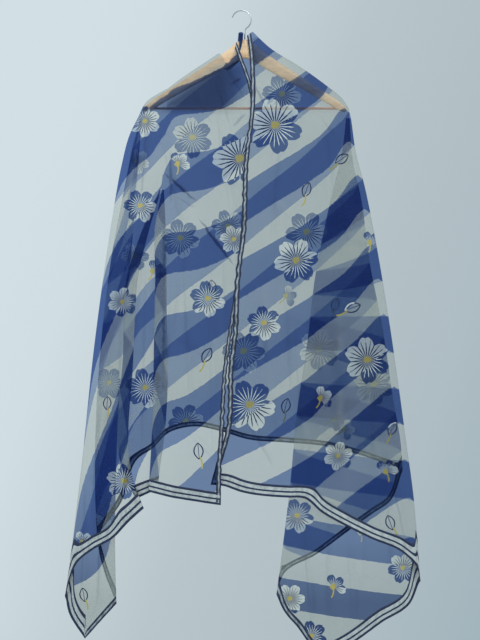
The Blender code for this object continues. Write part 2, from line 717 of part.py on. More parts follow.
def hanger_arm(name, direction, tools):
    mesh = bmesh.new()
    shape = Line([(out, thick, top, low) for out, top, low, thick in ARM[:-2]])
    rows = [shape.at(step / 13) for step in range(14)]
    rows = [(row[0], row[2], row[3], row[1]) for row in rows] + ARM[-2:]
    rings = []
    for out, top, low, thick in rows:
        ring = []
        for across, up in superellipse(0.5 * thick, 0.5 * (top - low), ARM_SIDES, ARM_SQUARENESS):
            ring.append((ARM_CENTRE_X + direction * out, across, 0.5 * (top + low) + up))
        rings.append(ring)
    loft(mesh, rings)
    arm = finish(name, mesh, "varnished wood")
    for tool in tools:
        cut = arm.modifiers.new("seat of " + tool.name, "BOOLEAN")
        cut.operation = "DIFFERENCE"
        cut.solver = "EXACT"
        cut.object = tool
    return arm


def rod(name, points, radius, sides_per_quarter, finish_name):
    """A round bar or wire along points in millimetres."""
    data = bpy.data.curves.new(name, "CURVE")
    data.dimensions = "3D"
    data.bevel_depth = radius * MM
    data.bevel_resolution = sides_per_quarter
    data.use_fill_caps = True
    spline = data.splines.new("POLY")
    spline.points.add(len(points) - 1)
    for target, source in zip(spline.points, points):
        target.co = (*(Vector(source) * MM), 1.0)
    made = bpy.data.objects.new(name, data)
    made.data.materials.append(material(finish_name))
    bpy.context.scene.collection.objects.link(made)
    return made


def hook_points():
    """Round bend from the tip over the top, back under to the middle, then down the stem."""
    centre = WIRE_RADIUS - HOOK_RADIUS
    bend = []
    for step in range(19):
        angle = math.radians(165 - 225 * step / 18)
        bend.append((HOOK_RADIUS * math.cos(angle), 0, centre + HOOK_RADIUS * math.sin(angle)))
    lead = Line([bend[-1], (7.9, 0, -41), (ARM_CENTRE_X, 0, -47), (ARM_CENTRE_X, 0, STEM_LOW)])
    return bend + [tuple(lead.at(share)) for share in (0.12, 0.24, 0.36, 0.5, 1.0)]


def neck_gather(name):
    mesh = bmesh.new()
    rings = []
    for index, (x, depth, height, width, fullness) in enumerate(NECK_GATHER):
        before = NECK_GATHER[max(index - 1, 0)]
        after = NECK_GATHER[min(index + 1, len(NECK_GATHER) - 1)]
        run = Vector((0, after[1] - before[1], after[2] - before[2])).normalized()
        out = Vector((0, -run[2], run[1]))
        ring = []
        for across, up in superellipse(0.5 * width, 0.5 * fullness, 10, 2.0):
            ring.append(Vector((x + across, depth, height)) + out * up)
        rings.append(ring)
    loft(mesh, rings)
    return finish(name, mesh, "organza")


def build():
    for existing in list(bpy.data.objects):
        bpy.data.objects.remove(existing)

    stretches = {name: Stretch(name, **values) for name, values in STRETCHES.items()}
    for name, stretch in stretches.items():
        panel(name, stretch)
    for name, values in BORDERS.items():
        stretch = stretches[values["of"]]
        if values["edge"] == "bottom":
            bottom_border(name, stretch, values.get("before_tip"), values.get("after_tip"))
        else:
            side_edging(name, stretch, values["edge"])
    neck_edging("neck_edging", stretches["back_panel"])
    neck_gather("neck_gather")

    stem_seat = cutter("stem", (ARM_CENTRE_X, 0, -50), (ARM_CENTRE_X, 0, STEM_LOW - FIT), WIRE_RADIUS + FIT, 16)
    for name, direction in (("hanger_arm_left", -1), ("hanger_arm_right", 1)):
        deep = (ARM_CENTRE_X + direction * (BAR_SEAT_OUT + FIT), 0, BAR_HEIGHT)
        mouth = (ARM_CENTRE_X + direction * (BAR_SEAT_OUT - 30), 0, BAR_HEIGHT)
        bar_seat = cutter(name + "_bar", deep, mouth, BAR_RADIUS + FIT, 16)
        hanger_arm(name, direction, [stem_seat, bar_seat])
    bar_ends = [(ARM_CENTRE_X + side * BAR_SEAT_OUT, 0, BAR_HEIGHT) for side in (-1, 1)]
    rod("trouser_bar", bar_ends, BAR_RADIUS, 2, "varnished wood")
    rod("hook", hook_points(), WIRE_RADIUS, 2, "bright steel")


build()
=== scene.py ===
import math

import bpy
import numpy as np
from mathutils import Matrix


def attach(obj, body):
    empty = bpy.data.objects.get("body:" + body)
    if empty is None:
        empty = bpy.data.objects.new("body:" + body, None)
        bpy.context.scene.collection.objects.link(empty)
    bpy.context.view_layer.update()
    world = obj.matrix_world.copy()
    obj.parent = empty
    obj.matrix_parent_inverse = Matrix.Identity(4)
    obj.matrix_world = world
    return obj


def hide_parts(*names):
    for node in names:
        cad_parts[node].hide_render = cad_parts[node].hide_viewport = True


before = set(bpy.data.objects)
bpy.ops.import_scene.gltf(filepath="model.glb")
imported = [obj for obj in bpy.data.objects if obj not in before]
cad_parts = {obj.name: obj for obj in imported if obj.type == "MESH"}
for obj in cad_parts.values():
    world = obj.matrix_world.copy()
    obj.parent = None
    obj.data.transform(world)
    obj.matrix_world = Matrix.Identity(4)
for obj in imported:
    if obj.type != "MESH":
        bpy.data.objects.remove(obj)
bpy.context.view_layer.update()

# Dupatta stole hung like a shawl on a wooden coat hanger.
# Metres in Blender, +Z up, the front faces -Y. The tables are in millimetres.
mm = 0.001

edgingWidth = 11.0  # narrow border of the long edges
borderWidth = 26.0  # banded border of the short ends
shoulderRoll = 8.0  # drop over which the cloth turns over the arms
steepestBorder = 3.5  # most that a slanted hem stretches its border down the cloth
turnShare = 0.2  # share of a stretch's width or height that its quarter turn takes
yokeShare = 0.36  # share of its height above the place where the inner folds begin
turnSteps = 6
yokeRows = 26
lowerRows = 140
columnStep = 6.5  # mm between columns of the cloth's mesh
bandHalf = 0.45  # half of a woven border's thickness
hemRoll = 0.55  # what the rolled edge adds to it


def linear(code, alpha=1.0):
    # sRGB hex to the linear colour that the sockets take
    parts = [int(code[place:place + 2], 16) / 255 for place in (1, 3, 5)]
    return [part / 12.92 if part <= 0.04045 else ((part + 0.055) / 1.055) ** 2.4 for part in parts] + [alpha]


def addNode(tree, kind, settings=None, links=None):
    # adds a node, sets its options and its sockets' numbers, and links what comes in
    node = tree.nodes.new("ShaderNode" + kind)
    for name, value in (settings or {}).items():
        if isinstance(name, str) and hasattr(node, name):
            setattr(node, name, value)
        else:
            node.inputs[name].default_value = value
    for name, source in (links or {}).items():
        tree.links.new(source, node.inputs[name])
    return node


# the photograph is taken from straight in front, level with the middle of the stole
view = dict(x=-0.003, distance=3.2, height=-0.664, frameHeight=1.376, sensor=36)
cameraData = bpy.data.cameras.new("camera")
cameraData.sensor_width = view["sensor"]
cameraData.lens = view["sensor"] * view["distance"] / view["frameHeight"]
camera = bpy.data.objects.new("camera", cameraData)
camera.location = (view["x"], -view["distance"], view["height"])
camera.rotation_euler = (math.radians(90), 0, 0)
bpy.context.scene.collection.objects.link(camera)
bpy.context.scene.camera = camera

# Lines that run down the cloth, from the top. Columns: x, depth (front is minus), height, turn, where turn is
# half the distance between the two layers that meet at a fold, and nought on a free edge.
falls = {
    "right centre edge": [
        (12, -9, -54, 0), (17, -10, -95, 0), (19, -13, -138, 0), (19, -13, -209, 0), (5, -13.5, -331, 0),
        (-2, -15, -492, 0), (-10, -15, -548, 0), (-15, -14.5, -604, 0), (-18, -13.5, -686, 0),
        (-27, -12, -761, 0), (-34, -9, -901, 0), (-57, -8, -983, 0), (-66, -8, -1017, 0),
    ],
    "left centre edge": [
        (-10, -9, -69, 0), (3, -9, -105, 0), (16, -9, -140, 0), (26, -9, -187, 0), (13, -9.5, -331, 0),
        (4, -11, -492, 0), (-3, -11, -548, 0), (-8, -10.5, -600, 0), (-20, -12.5, -686, 0),
        (-30, -14, -761, 0), (-38, -16, -901, 0), (-43, -17, -983, 0), (-44, -17, -1060, 0),
    ],
    "right side fold": [
        (231, 0, -209, 9), (235, -4.5, -230, 2.5), (244, -7, -295, 4), (266, -10, -385, 5.5),
        (287, -13, -492, 7), (309, -15, -621, 8), (352, -18, -922, 8), (369, -18, -1051, 8),
        (382, -17, -1223, 7),
    ],
    "right inner fold": [
        (225, 0, -230, 2), (218, 0, -292, 3), (190, -1, -413, 5), (158, -2, -574, 6.5), (141, -3, -716, 7),
        (119, -3, -864, 7), (106, -3, -1004, 7), (76, -3, -1253, 6),
    ],
    "right back fold": [
        (231, 0, -209, 9), (233, 4.5, -230, 2.5), (240, 6, -320, 3.5), (257, 7.5, -396, 4.5),
        (276, 9, -535, 5.5), (306, 10, -690, 6), (326, 10, -826, 6), (345, 10, -944, 6), (347, 10, -987, 6),
    ],
    "left pleat front fold": [
        (-157.6, -9, -165.7, 0), (-163.4, -14, -277, 0), (-168.2, -18, -374, 1.5), (-186, -21, -477, 3),
        (-184, -24, -557, 4), (-186, -24, -673, 4), (-191, -24, -903, 4), (-198, -24, -1030, 4),
    ],
    "left pleat inner fold": [
        (-166, -11, -385, 2), (-162, -14.5, -471, 2.5), (-160, -17, -621, 3), (-161, -17, -873, 3),
        (-180, -17, -1026, 3),
    ],
    "left pleat hidden fold": [
        (-175, -11, -385, 2), (-199, -14.5, -439, 2.5), (-223, -17, -500, 3), (-244, -17, -568, 3),
        (-253, -17, -729, 3), (-253, -17, -987, 3), (-226, -17, -1047, 3),
    ],
    "left pleat lip fold": [
        (-158.6, -9, -166.3, 0), (-164.6, -14, -277, 0), (-170.8, -18, -374, 1.5), (-197, -21, -471, 3),
        (-220, -24, -568, 4), (-227, -24, -664, 4), (-231, -24, -750, 4), (-230, -24, -1008, 4),
        (-209, -24, -1066, 4),
    ],
    "left side fold": [
        (-214, 0, -211, 9), (-223, -4.5, -231, 2.5), (-238, -7, -262, 4), (-257, -10, -333, 5.5),
        (-272, -13, -417, 7), (-289, -15, -527, 7), (-313, -16, -705, 7), (-349, -16, -1043, 7),
        (-369, -16, -1200, 7), (-377, -15, -1256, 6),
    ],
    "left inner fold": [
        (-214, 0, -231, 2), (-221, -1, -320, 4), (-236, -2, -514, 5), (-253, -3, -707, 5.5),
        (-266, -3.5, -901, 5.5), (-271, -3.5, -1163, 5.5), (-269, -3.5, -1273, 5),
    ],
    "left back fold": [
        (-214, 0, -211, 9), (-219, 4.5, -231, 2.5), (-231, 6, -277, 3.5), (-253, 7, -385, 4.5),
        (-276, 8, -503, 5.5), (-304, 8, -729, 6), (-315, 8, -922, 6), (-315, 8, -1051, 6),
        (-311, 8, -1129, 6),
    ],
}

# Lines that run across the cloth, from left to right. Columns: x, depth, height. Only the top lines use the
# depth: nought is the ridge over the arms.
spans = {
    "left shoulder outer": [(-214, 0, -211), (-205, 0, -196), (-180, 0, -178), (-158.6, 0, -166.3)],
    "left shoulder": [(-157.6, 0, -165.7), (-126, 0, -142), (-78, 0, -110), (-48, 0, -90)],
    "left neck front": [
        (-48, 0, -90), (-44, -7, -94), (-39, -9, -101), (-31, -9, -115), (-18, -9, -95), (-10, -9, -69),
    ],
    "neck back": [
        (-48, 0, -90), (-44, 7.5, -94), (-40, 9, -99), (-27, 9, -108), (-8, 9, -94), (4, 9, -82),
        (14, 9, -69), (22, 8, -60), (30, 4, -55), (38, 0, -58),
    ],
    "right shoulder back": [
        (38, 0, -58), (59, 0, -77), (124, 0, -118), (184, 0, -161), (216, 0, -187), (231, 0, -209),
    ],
    "right neck front": [(12, -6, -54), (24, 0, -44)],
    "right shoulder": [
        (24, 0, -44), (59, 0, -77), (124, 0, -118), (184, 0, -161), (216, 0, -187), (231, 0, -209),
    ],
    "right front hem": [
        (-66, 0, -1017), (-42, 0, -1019), (-1, 0, -1032), (98, 0, -1043), (134, 0, -1045), (171, 0, -1075),
        (225, 0, -1105), (270, 0, -1127), (345, 0, -1161), (375, 0, -1193), (382, 0, -1223),
    ],
    "right tail edge": [(76, 0, -1253), (89, 0, -1284), (124, 0, -1327), (141, 0, -1352), (173, 0, -1393)],
    "right tail hem": [(173, 0, -1393), (244, 0, -1352), (300, 0, -1312), (360, 0, -1273), (382, 0, -1223)],
    "right inner edge": [
        (76, 0, -1253), (90, 0, -1212), (164, 0, -1167), (233, 0, -1116), (285, 0, -1079), (319, 0, -1055),
        (347, 0, -987),
    ],
    "back edge": [
        (-311, 0, -1129), (-261, 0, -1060), (-220, 0, -960), (-195, 0, -944), (-156, 0, -907),
        (-102, 0, -894), (-44, 0, -905), (12, 0, -922), (98, 0, -929), (184, 0, -937), (244, 0, -952),
        (347, 0, -987),
    ],
    "left inner edge": [(-311, 0, -1129), (-303, 0, -1178), (-296, 0, -1202), (-269, 0, -1273)],
    "left tail hem": [(-377, 0, -1256), (-370, 0, -1290), (-335, 0, -1346)],
    "left tail edge": [(-335, 0, -1346), (-269, 0, -1273)],
    "left outer hem": [
        (-377, 0, -1256), (-369, 0, -1226), (-349, 0, -1180), (-315, 0, -1152), (-274, 0, -1129),
        (-240, 0, -1094), (-209, 0, -1066),
    ],
    "left front hem": [(-198, 0, -1030), (-164, 0, -1038), (-111, 0, -1049), (-44, 0, -1060)],
}

# Each stretch of cloth: the falls at its two sides, with -1 where it lies in front of that fold, +1 behind
# and 0 on a free edge, the heights on its two sides that are level with each other, its top and bottom
# spans, and how far its middle bulges (front is minus).
stretches = {
    "back_panel": dict(
        left="left back fold", leftSide=1, leftFrom=-231, right="right back fold", rightSide=1, rightFrom=-230,
        top=["left shoulder outer", "left shoulder", "neck back", "right shoulder back"],
        bottom=["back edge"], bulge=5,
    ),
    "right_front": dict(
        left="right centre edge", leftSide=0, leftFrom=-190, right="right side fold", rightSide=-1,
        rightFrom=-230,
        top=["right neck front", "right shoulder"], bottom=["right front hem"], bulge=-7,
    ),
    "right_under_fold": dict(
        left="right inner fold", leftSide=-1, leftFrom=-230, right="right side fold", rightSide=1,
        rightFrom=-230,
        bottom=["right tail edge", "right tail hem"], bulge=-2,
    ),
    "right_inner_fold": dict(
        left="right inner fold", leftSide=1, leftFrom=-230, right="right back fold", rightSide=-1,
        rightFrom=-230,
        bottom=["right inner edge"], bulge=1,
    ),
    "left_front": dict(
        left="left pleat front fold", leftSide=-1, leftFrom=-385, right="left centre edge", rightSide=0,
        rightFrom=-340,
        top=["left shoulder", "left neck front"], bottom=["left front hem"], bulge=-5,
    ),
    "left_pleat_return": dict(
        left="left pleat front fold", leftSide=1, leftFrom=-385, right="left pleat inner fold",
        rightSide=-1, rightFrom=-385, bulge=0,
    ),
    "left_pleat_recess": dict(
        left="left pleat hidden fold", leftSide=1, leftFrom=-385, right="left pleat inner fold",
        rightSide=1, rightFrom=-385, bulge=1,
    ),
    "left_pleat_lip": dict(
        left="left pleat hidden fold", leftSide=-1, leftFrom=-385, right="left pleat lip fold",
        rightSide=1, rightFrom=-385, bulge=0,
    ),
    "left_outer_front": dict(
        left="left side fold", leftSide=-1, leftFrom=-231, right="left pleat lip fold", rightSide=-1,
        rightFrom=-385,
        top=["left shoulder outer"], bottom=["left outer hem"], bulge=-4,
    ),
    "left_under_fold": dict(
        left="left side fold", leftSide=1, leftFrom=-231, right="left inner fold", rightSide=-1,
        rightFrom=-231,
        bottom=["left tail hem", "left tail edge"], bulge=-1,
    ),
    "left_inner_fold": dict(
        left="left back fold", leftSide=-1, leftFrom=-231, right="left inner fold", rightSide=1,
        rightFrom=-231,
        bottom=["left inner edge"], bulge=1,
    ),
}

# Soft flutes that run down a stretch. Columns: place across it, half width, depth, and where along its
# length the flute is full, from its top to its hem.
flutes = {
    "back_panel": [(0.20, 0.06, 7, 0.7), (0.37, 0.05, -5, 0.8), (0.56, 0.06, 6, 0.9), (0.76, 0.05, -4, 0.7)],
    "right_front": [(0.26, 0.10, -6, 0.8), (0.52, 0.09, 5, 0.9), (0.78, 0.07, -5, 0.6)],
    "left_front": [(0.34, 0.12, -6, 0.8), (0.68, 0.10, 5, 0.7)],
    "left_outer_front": [(0.45, 0.14, -6, 0.8)],
    "right_under_fold": [(0.55, 0.14, -3, 0.9)],
    "left_under_fold": [(0.50, 0.16, -3, 0.9)],
}

# Borders: the stretch that each finishes, and the edge it lies on. A tail's tip splits its bottom edge in
# two, before and after the tip.
borders = {
    "right_front_border": dict(of="right_front", edge="bottom"),
    "right_tail_border": dict(of="right_under_fold", edge="bottom", afterTip=True),
    "right_tail_edging": dict(of="right_under_fold", edge="bottom", beforeTip=True),
    "right_inner_edging": dict(of="right_inner_fold", edge="bottom"),
    "back_edging": dict(of="back_panel", edge="bottom"),
    "left_inner_edging": dict(of="left_inner_fold", edge="bottom"),
    "left_tail_border": dict(of="left_under_fold", edge="bottom", beforeTip=True),
    "left_tail_edging": dict(of="left_under_fold", edge="bottom", afterTip=True),
    "left_outer_border": dict(of="left_outer_front", edge="bottom"),
    "left_pleat_lip_border": dict(of="left_pleat_lip", edge="bottom"),
    "left_pleat_recess_border": dict(of="left_pleat_recess", edge="bottom"),
    "left_pleat_return_border": dict(of="left_pleat_return", edge="bottom"),
    "left_front_border": dict(of="left_front", edge="bottom"),
    "right_centre_edging": dict(of="right_front", edge="left"),
    "left_centre_edging": dict(of="left_front", edge="right"),
}

# Widths of the borders on the bottom edge of each stretch, one for each of its bottom spans.
bottomWidths = {
    "back_panel": [edgingWidth],
    "right_front": [borderWidth],
    "right_under_fold": [edgingWidth, borderWidth],
    "right_inner_fold": [edgingWidth],
    "left_front": [borderWidth],
    "left_pleat_return": [borderWidth],
    "left_pleat_recess": [borderWidth],
    "left_pleat_lip": [borderWidth],
    "left_outer_front": [borderWidth],
    "left_under_fold": [borderWidth, edgingWidth],
    "left_inner_fold": [edgingWidth],
}

# The bunched neck edge beside the hook. Columns: x of its middle, depth, height, width, fullness.
neckGather = [
    (-3, 10.5, -88, 12, 2), (-3, 9.5, -72, 11, 2.5), (-2, 6, -54, 10, 3), (-1, 0, -46, 10, 3.5),
    (-1, -6.5, -52, 9.5, 3.5), (-1, -10.5, -64, 8, 3), (-2, -10.5, -76, 5, 2.5), (-3, -10, -85, 2, 1.5),
]

# Where the printed stripes cross the lines that the cloth falls along. Columns: height, stripe count. The
# cloth is blue where the whole part of the count is even.
stripeMarks = {
    "right centre edge": [
        (-54, -1.85), (-211, 0), (-292, 1), (-374, 2), (-458, 3), (-540, 4), (-626, 5), (-714, 6), (-803, 7),
        (-897, 8), (-983, 9),
    ],
    "right side fold": [
        (-211, 1.9), (-289, 3), (-361, 4), (-433, 5), (-508, 6), (-580, 7), (-656, 8), (-734, 9), (-812, 10),
        (-888, 11), (-968, 12), (-1051, 13), (-1134, 14), (-1223, 15.4),
    ],
    "right inner fold": [
        (-230, 2.2), (-413, 3.9), (-520, 5.2), (-600, 6.8), (-656, 8), (-798, 10), (-940, 12), (-1084, 14),
        (-1146, 15), (-1215, 16), (-1253, 16.6),
    ],
    "right back fold": [(-230, 2.2), (-372, 4), (-540, 6), (-703, 8), (-864, 10), (-987, 11.5)],
    "left back fold": [(-211, -2.85), (-299, -2), (-505, 0), (-716, 2), (-927, 4), (-1129, 5.95)],
    "left inner fold": [
        (-230, 0.1), (-320, 0.7), (-514, 2.3), (-707, 3.4), (-901, 4.3), (-1163, 5.2), (-1273, 5.7),
    ],
    "left side fold": [(-211, -0.25), (-260, 0), (-416, 1), (-602, 2), (-935, 3), (-1202, 4), (-1256, 4.4)],
    "left pleat front fold": [
        (-181, 0), (-267, 1), (-353, 2), (-436, 3), (-525, 4), (-608, 5), (-703, 6), (-798, 7), (-901, 8),
        (-1008, 9),
    ],
    "left pleat lip fold": [
        (-181, 0), (-267, 1), (-375, 2), (-545, 3), (-725, 4), (-925, 5), (-1066, 5.8),
    ],
    "left pleat inner fold": [(-385, 2.2), (-467, 3), (-557, 4), (-654, 5), (-783, 6), (-890, 7), (-998, 8)],
    "left pleat hidden fold": [(-385, 2.2), (-600, 3), (-690, 4), (-815, 5), (-944, 6), (-1041, 7)],
    "left centre edge": [(-88, 0), (-172, 1), (-931, 10), (-1060, 11.5)],
}

# Printed flowers, buds and leaf sprigs. Columns: x, height, radius, turn in degrees, kind.
flower, bud, sprig = 0, 1, 2
motifs = {
    "right_front": [
        (72, -249, 58, 12, flower), (117, -538, 47, 40, flower), (268, -750, 48, 5, flower),
        (18, -847, 54, 22, flower), (48, -671, 36, 8, flower), (207, -955, 31, 50, flower),
        (169, -832, 26, 60, bud), (308, -987, 26, 100, bud), (274, -499, 24, 80, bud), (207, -327, 30, 35, sprig),
        (137, -396, 30, 70, sprig), (227, -643, 32, 20, sprig), (322, -1105, 30, 110, sprig),
        (318, -905, 28, 60, sprig),
    ],
    "left_front": [
        (-3, -320, 58, 30, flower), (-72, -619, 38, 10, flower), (-136, -331, 26, 80, bud),
        (-16, -492, 30, 20, flower), (-78, -750, 32, 60, sprig), (-89, -955, 32, 95, sprig),
    ],
    "left_outer_front": [
        (-216, -421, 35, 25, flower), (-253, -626, 31, 50, flower), (-250, -1008, 37, 10, flower),
        (-207, -239, 33, 0, flower), (-285, -850, 26, 85, sprig), (-339, -1138, 24, 80, bud),
    ],
    "left_pleat_recess": [(-206, -810, 42, 15, flower), (-190, -560, 24, 60, bud)],
    "back_panel": [
        (87, -178, 42, 20, flower), (-106, -271, 43, 5, flower), (141, -475, 45, 35, flower),
        (-132, -488, 42, 15, flower), (169, -728, 44, 50, flower), (286, -804, 44, 10, flower),
        (5, -733, 46, 25, flower), (-120, -884, 38, 40, flower), (-226, -322, 27, 75, flower),
        (-29, -462, 36, 20, flower), (-230, -527, 30, 30, flower), (-40, -1000, 30, 60, flower),
        (96, -613, 24, 40, bud), (95, -860, 30, 75, sprig), (-60, -600, 26, 100, sprig),
        (290, -560, 27, 60, bud), (200, -880, 24, 20, bud),
    ],
    "right_under_fold": [
        (119, -1084, 36, 15, flower), (346, -1196, 32, 40, flower), (197, -1236, 27, 75, bud),
        (104, -1262, 32, 30, flower), (150, -1342, 33, 10, flower), (255, -1120, 22, 90, sprig),
    ],
    "right_inner_fold": [
        (200, -640, 26, 70, sprig), (220, -900, 24, 30, bud),
    ],
    "left_under_fold": [
        (-335, -1262, 27, 100, sprig),
    ],
    "left_inner_fold": [(-285, -800, 34, 30, flower)],
}

# Creases pressed or hung into the cloth. Columns: x and height of one end, x and height of the other, half
# width, depth (front is minus).
creases = {
    "right_front": [
        (24, -152, 52, -205, 7, -3.2), (60, -150, 130, -260, 12, -3.0), (95, -210, 60, -330, 10, 2.6),
        (160, -215, 235, -330, 13, -3.2), (25, -380, 120, -460, 12, -2.4), (170, -450, 275, -520, 14, 3.0),
        (40, -560, 60, -900, 11, -3.4), (110, -640, 135, -1020, 13, 3.2), (190, -600, 225, -1060, 14, -3.4),
        (255, -680, 300, -1120, 11, 3.0), (80, -700, 200, -760, 10, 1.8), (150, -860, 300, -930, 12, -2.0),
        (0, -860, 70, -980, 9, 2.2), (300, -900, 352, -1150, 9, -2.6),
    ],
    "left_front": [
        (-168, -348, -92, -414, 5, -4.2), (-140, -400, -96, -426, 8, 2.4), (-92, -446, -16, -548, 5, -4.2),
        (-14, -550, 24, -524, 5, -3.8), (-112, -160, -60, -250, 10, -2.4), (-60, -140, -20, -260, 9, 2.2),
        (-130, -420, -110, -860, 10, -2.6), (-70, -560, -62, -980, 11, 2.6), (-140, -700, -60, -760, 9, 1.6),
        (-120, -900, -30, -990, 10, -1.8), (-25, -162, 1, -142, 5, -2.6), (-165, -420, -166, -860, 5, -2.6),
        (-152, -300, -150, -420, 6, -2.4), (-20, -250, 10, -220, 6, -2.2),
    ],
    "left_outer_front": [
        (-200, -205, -215, -420, 8, -2.4), (-230, -260, -250, -520, 9, 2.2), (-255, -500, -262, -900, 9, -2.4),
        (-300, -760, -320, -1130, 9, 2.4), (-240, -560, -290, -640, 9, -1.6), (-262, -930, -330, -1010, 9, -1.8),
    ],
    "back_panel": [
        (-180, -240, -120, -520, 14, 3.0), (-60, -180, -20, -460, 13, -2.6), (90, -200, 60, -520, 13, 2.8),
        (180, -240, 220, -560, 14, -2.8), (-220, -420, -260, -900, 12, 3.0), (-150, -560, -170, -860, 12, -2.8),
        (-40, -520, -30, -860, 13, 3.0), (90, -560, 110, -880, 13, -3.0), (220, -600, 260, -900, 12, 3.0),
        (-120, -330, 20, -390, 11, 2.0), (60, -650, 220, -700, 12, -1.8), (-40, -110, 10, -190, 8, 2.0),
    ],
    "right_under_fold": [
        (200, -500, 190, -900, 10, 1.6), (270, -700, 260, -1250, 12, -1.8), (190, -960, 180, -1330, 11, -2.2),
        (310, -980, 320, -1240, 10, 1.8), (130, -1080, 150, -1330, 9, -2.0), (225, -1120, 240, -1340, 11, 2.2),
    ],
    "right_inner_fold": [
        (220, -420, 190, -900, 11, 1.4), (280, -560, 270, -980, 11, -1.4), (160, -780, 130, -1130, 10, 1.4),
    ],
    "left_under_fold": [
        (-290, -620, -320, -1200, 9, -1.6), (-335, -1000, -345, -1300, 9, 1.8),
        (-300, -1080, -310, -1280, 8, -1.8),
    ],
    "left_inner_fold": [(-285, -500, -292, -1080, 9, 1.2)],
    "left_pleat_recess": [(-205, -520, -215, -1000, 9, 1.2)],
}

# How far apart the threads lie. The turned-back cloth hangs slack and lets more light through down to where the
# tails begin; at their tips it is made denser and darker, as painted shade. Columns: slackness, painted shade at
# the tip.
slackAndTipShade = {
    "left_under_fold": (0.8, 1.9), "left_inner_fold": (0.8, 0),
    "right_under_fold": (0.35, 1.5), "right_inner_fold": (0.35, 0),
}
# Painted shade below the left arm, in the front and in the back: the cloth is made denser and darker there.
yokeShade = dict(
    parts=("left_front", "back_panel"), closenessAndShade=1.8, armX=-48, armHeight=-90, armSlope=0.72, low=-222,
    left=-205, right=12,
)
# Small waves of the cloth, in mm: how deep and how far apart.
waves = dict(
    creases=1.25, hemDepth=0.5, hemPitch=19, edgeDepth=0.8, edgePitch=17, edgeWander=1.1, wanderPitch=23,
)


def measured(points):
    # a line read by the share of its length in front view
    reach = np.concatenate([[0], np.cumsum(np.hypot(np.diff(points[:, 0]), np.diff(points[:, 2])))])
    return dict(points=points, reach=reach, length=reach[-1], corner=None)


def smoothLine(rows):
    # passes through the rows, smooth in x and height; the other columns run straight between them
    rows = np.array(rows, float)
    gaps = np.hypot(np.diff(rows[:, 0]), np.diff(rows[:, 2]))[:, None]
    runs = np.diff(rows, axis=0) / gaps
    shares = gaps[:-1] / (gaps[:-1] + gaps[1:])
    slopes = np.vstack([runs[:1], runs[:-1] * (1 - shares) + runs[1:] * shares, runs[-1:]])
    t = np.linspace(0, 1, 21)[None, :, None]
    first, last, gap = rows[:-1, None], rows[1:, None], gaps[:, None]
    points = first * (2 * t**3 - 3 * t**2 + 1) + last * (3 * t**2 - 2 * t**3)
    points = points + slopes[:-1, None] * gap * (t**3 - 2 * t**2 + t) + slopes[1:, None] * gap * (t**3 - t**2)
    straight = first + (last - first) * t
    for column in range(rows.shape[1]):
        if column not in (0, 2):
            points[..., column] = straight[..., column]
    return measured(np.vstack([rows[:1], points[:, 1:].reshape(-1, rows.shape[1])]))


def joinedLine(names):
    # spans laid end to end; with two of them, the corner between them is kept
    lines = [smoothLine(spans[name]) for name in names]
    whole = measured(np.vstack([lines[0]["points"]] + [line["points"][1:] for line in lines[1:]]))
    if len(lines) == 2:
        whole["corner"] = lines[0]["length"] / whole["length"]
    return whole


def along(line, share):
    # the line's points at these shares of its length
    wanted = np.clip(share, 0, 1) * line["length"]
    return np.stack([np.interp(wanted, line["reach"], column) for column in line["points"].T], -1)


def shareAt(line, height):
    return float(np.interp(-height, -line["points"][:, 2], line["reach"])) / line["length"]


def lerp(first, last, share):
    return first + (last - first) * share


def prepared(name, values):
    stretch = dict(values, name=name)
    stretch["leftLine"] = smoothLine(falls[values["left"]])
    stretch["rightLine"] = smoothLine(falls[values["right"]])
    stretch["leftStart"] = shareAt(stretch["leftLine"], values["leftFrom"])
    stretch["rightStart"] = shareAt(stretch["rightLine"], values["rightFrom"])
    stretch["topLine"] = joinedLine(values["top"]) if "top" in values else None
    stretch["bottomLine"] = joinedLine(values["bottom"]) if "bottom" in values else None
    return stretch


def down(stretch, v):
    # points of the two falls at row v, the share of the way down, and the turn over the arm
    if not stretch["topLine"]:
        shares = [start + (1 - start) * v for start in (stretch["leftStart"], stretch["rightStart"])]
        return along(stretch["leftLine"], shares[0]), along(stretch["rightLine"], shares[1]), v, np.ones_like(v)
    shares = []
    angle = 0.5 * np.pi * np.clip(v / turnShare, 0, 1)
    for side in ("left", "right"):
        line, start = stretch[side + "Line"], stretch[side + "Start"]
        roll = shoulderRoll / line["length"]
        share = roll * (1 - np.cos(angle))
        yoke = roll + (start - roll) * (v - turnShare) / (yokeShare - turnShare)
        low = start + (1 - start) * (v - yokeShare) / (1 - yokeShare)
        shares.append(np.where(v < turnShare, share, np.where(v < yokeShare, yoke, low)))
    middle = 0.5 * (shares[0] + shares[1])
    return along(stretch["leftLine"], shares[0]), along(stretch["rightLine"], shares[1]), middle, np.sin(angle)


def turnReach(turn, width):
    # how far across the cloth its quarter turn at a fold takes
    return np.minimum(np.maximum(np.minimum(1.2 * turn + 2, turn * turn / 0.8), 3), 0.35 * width)


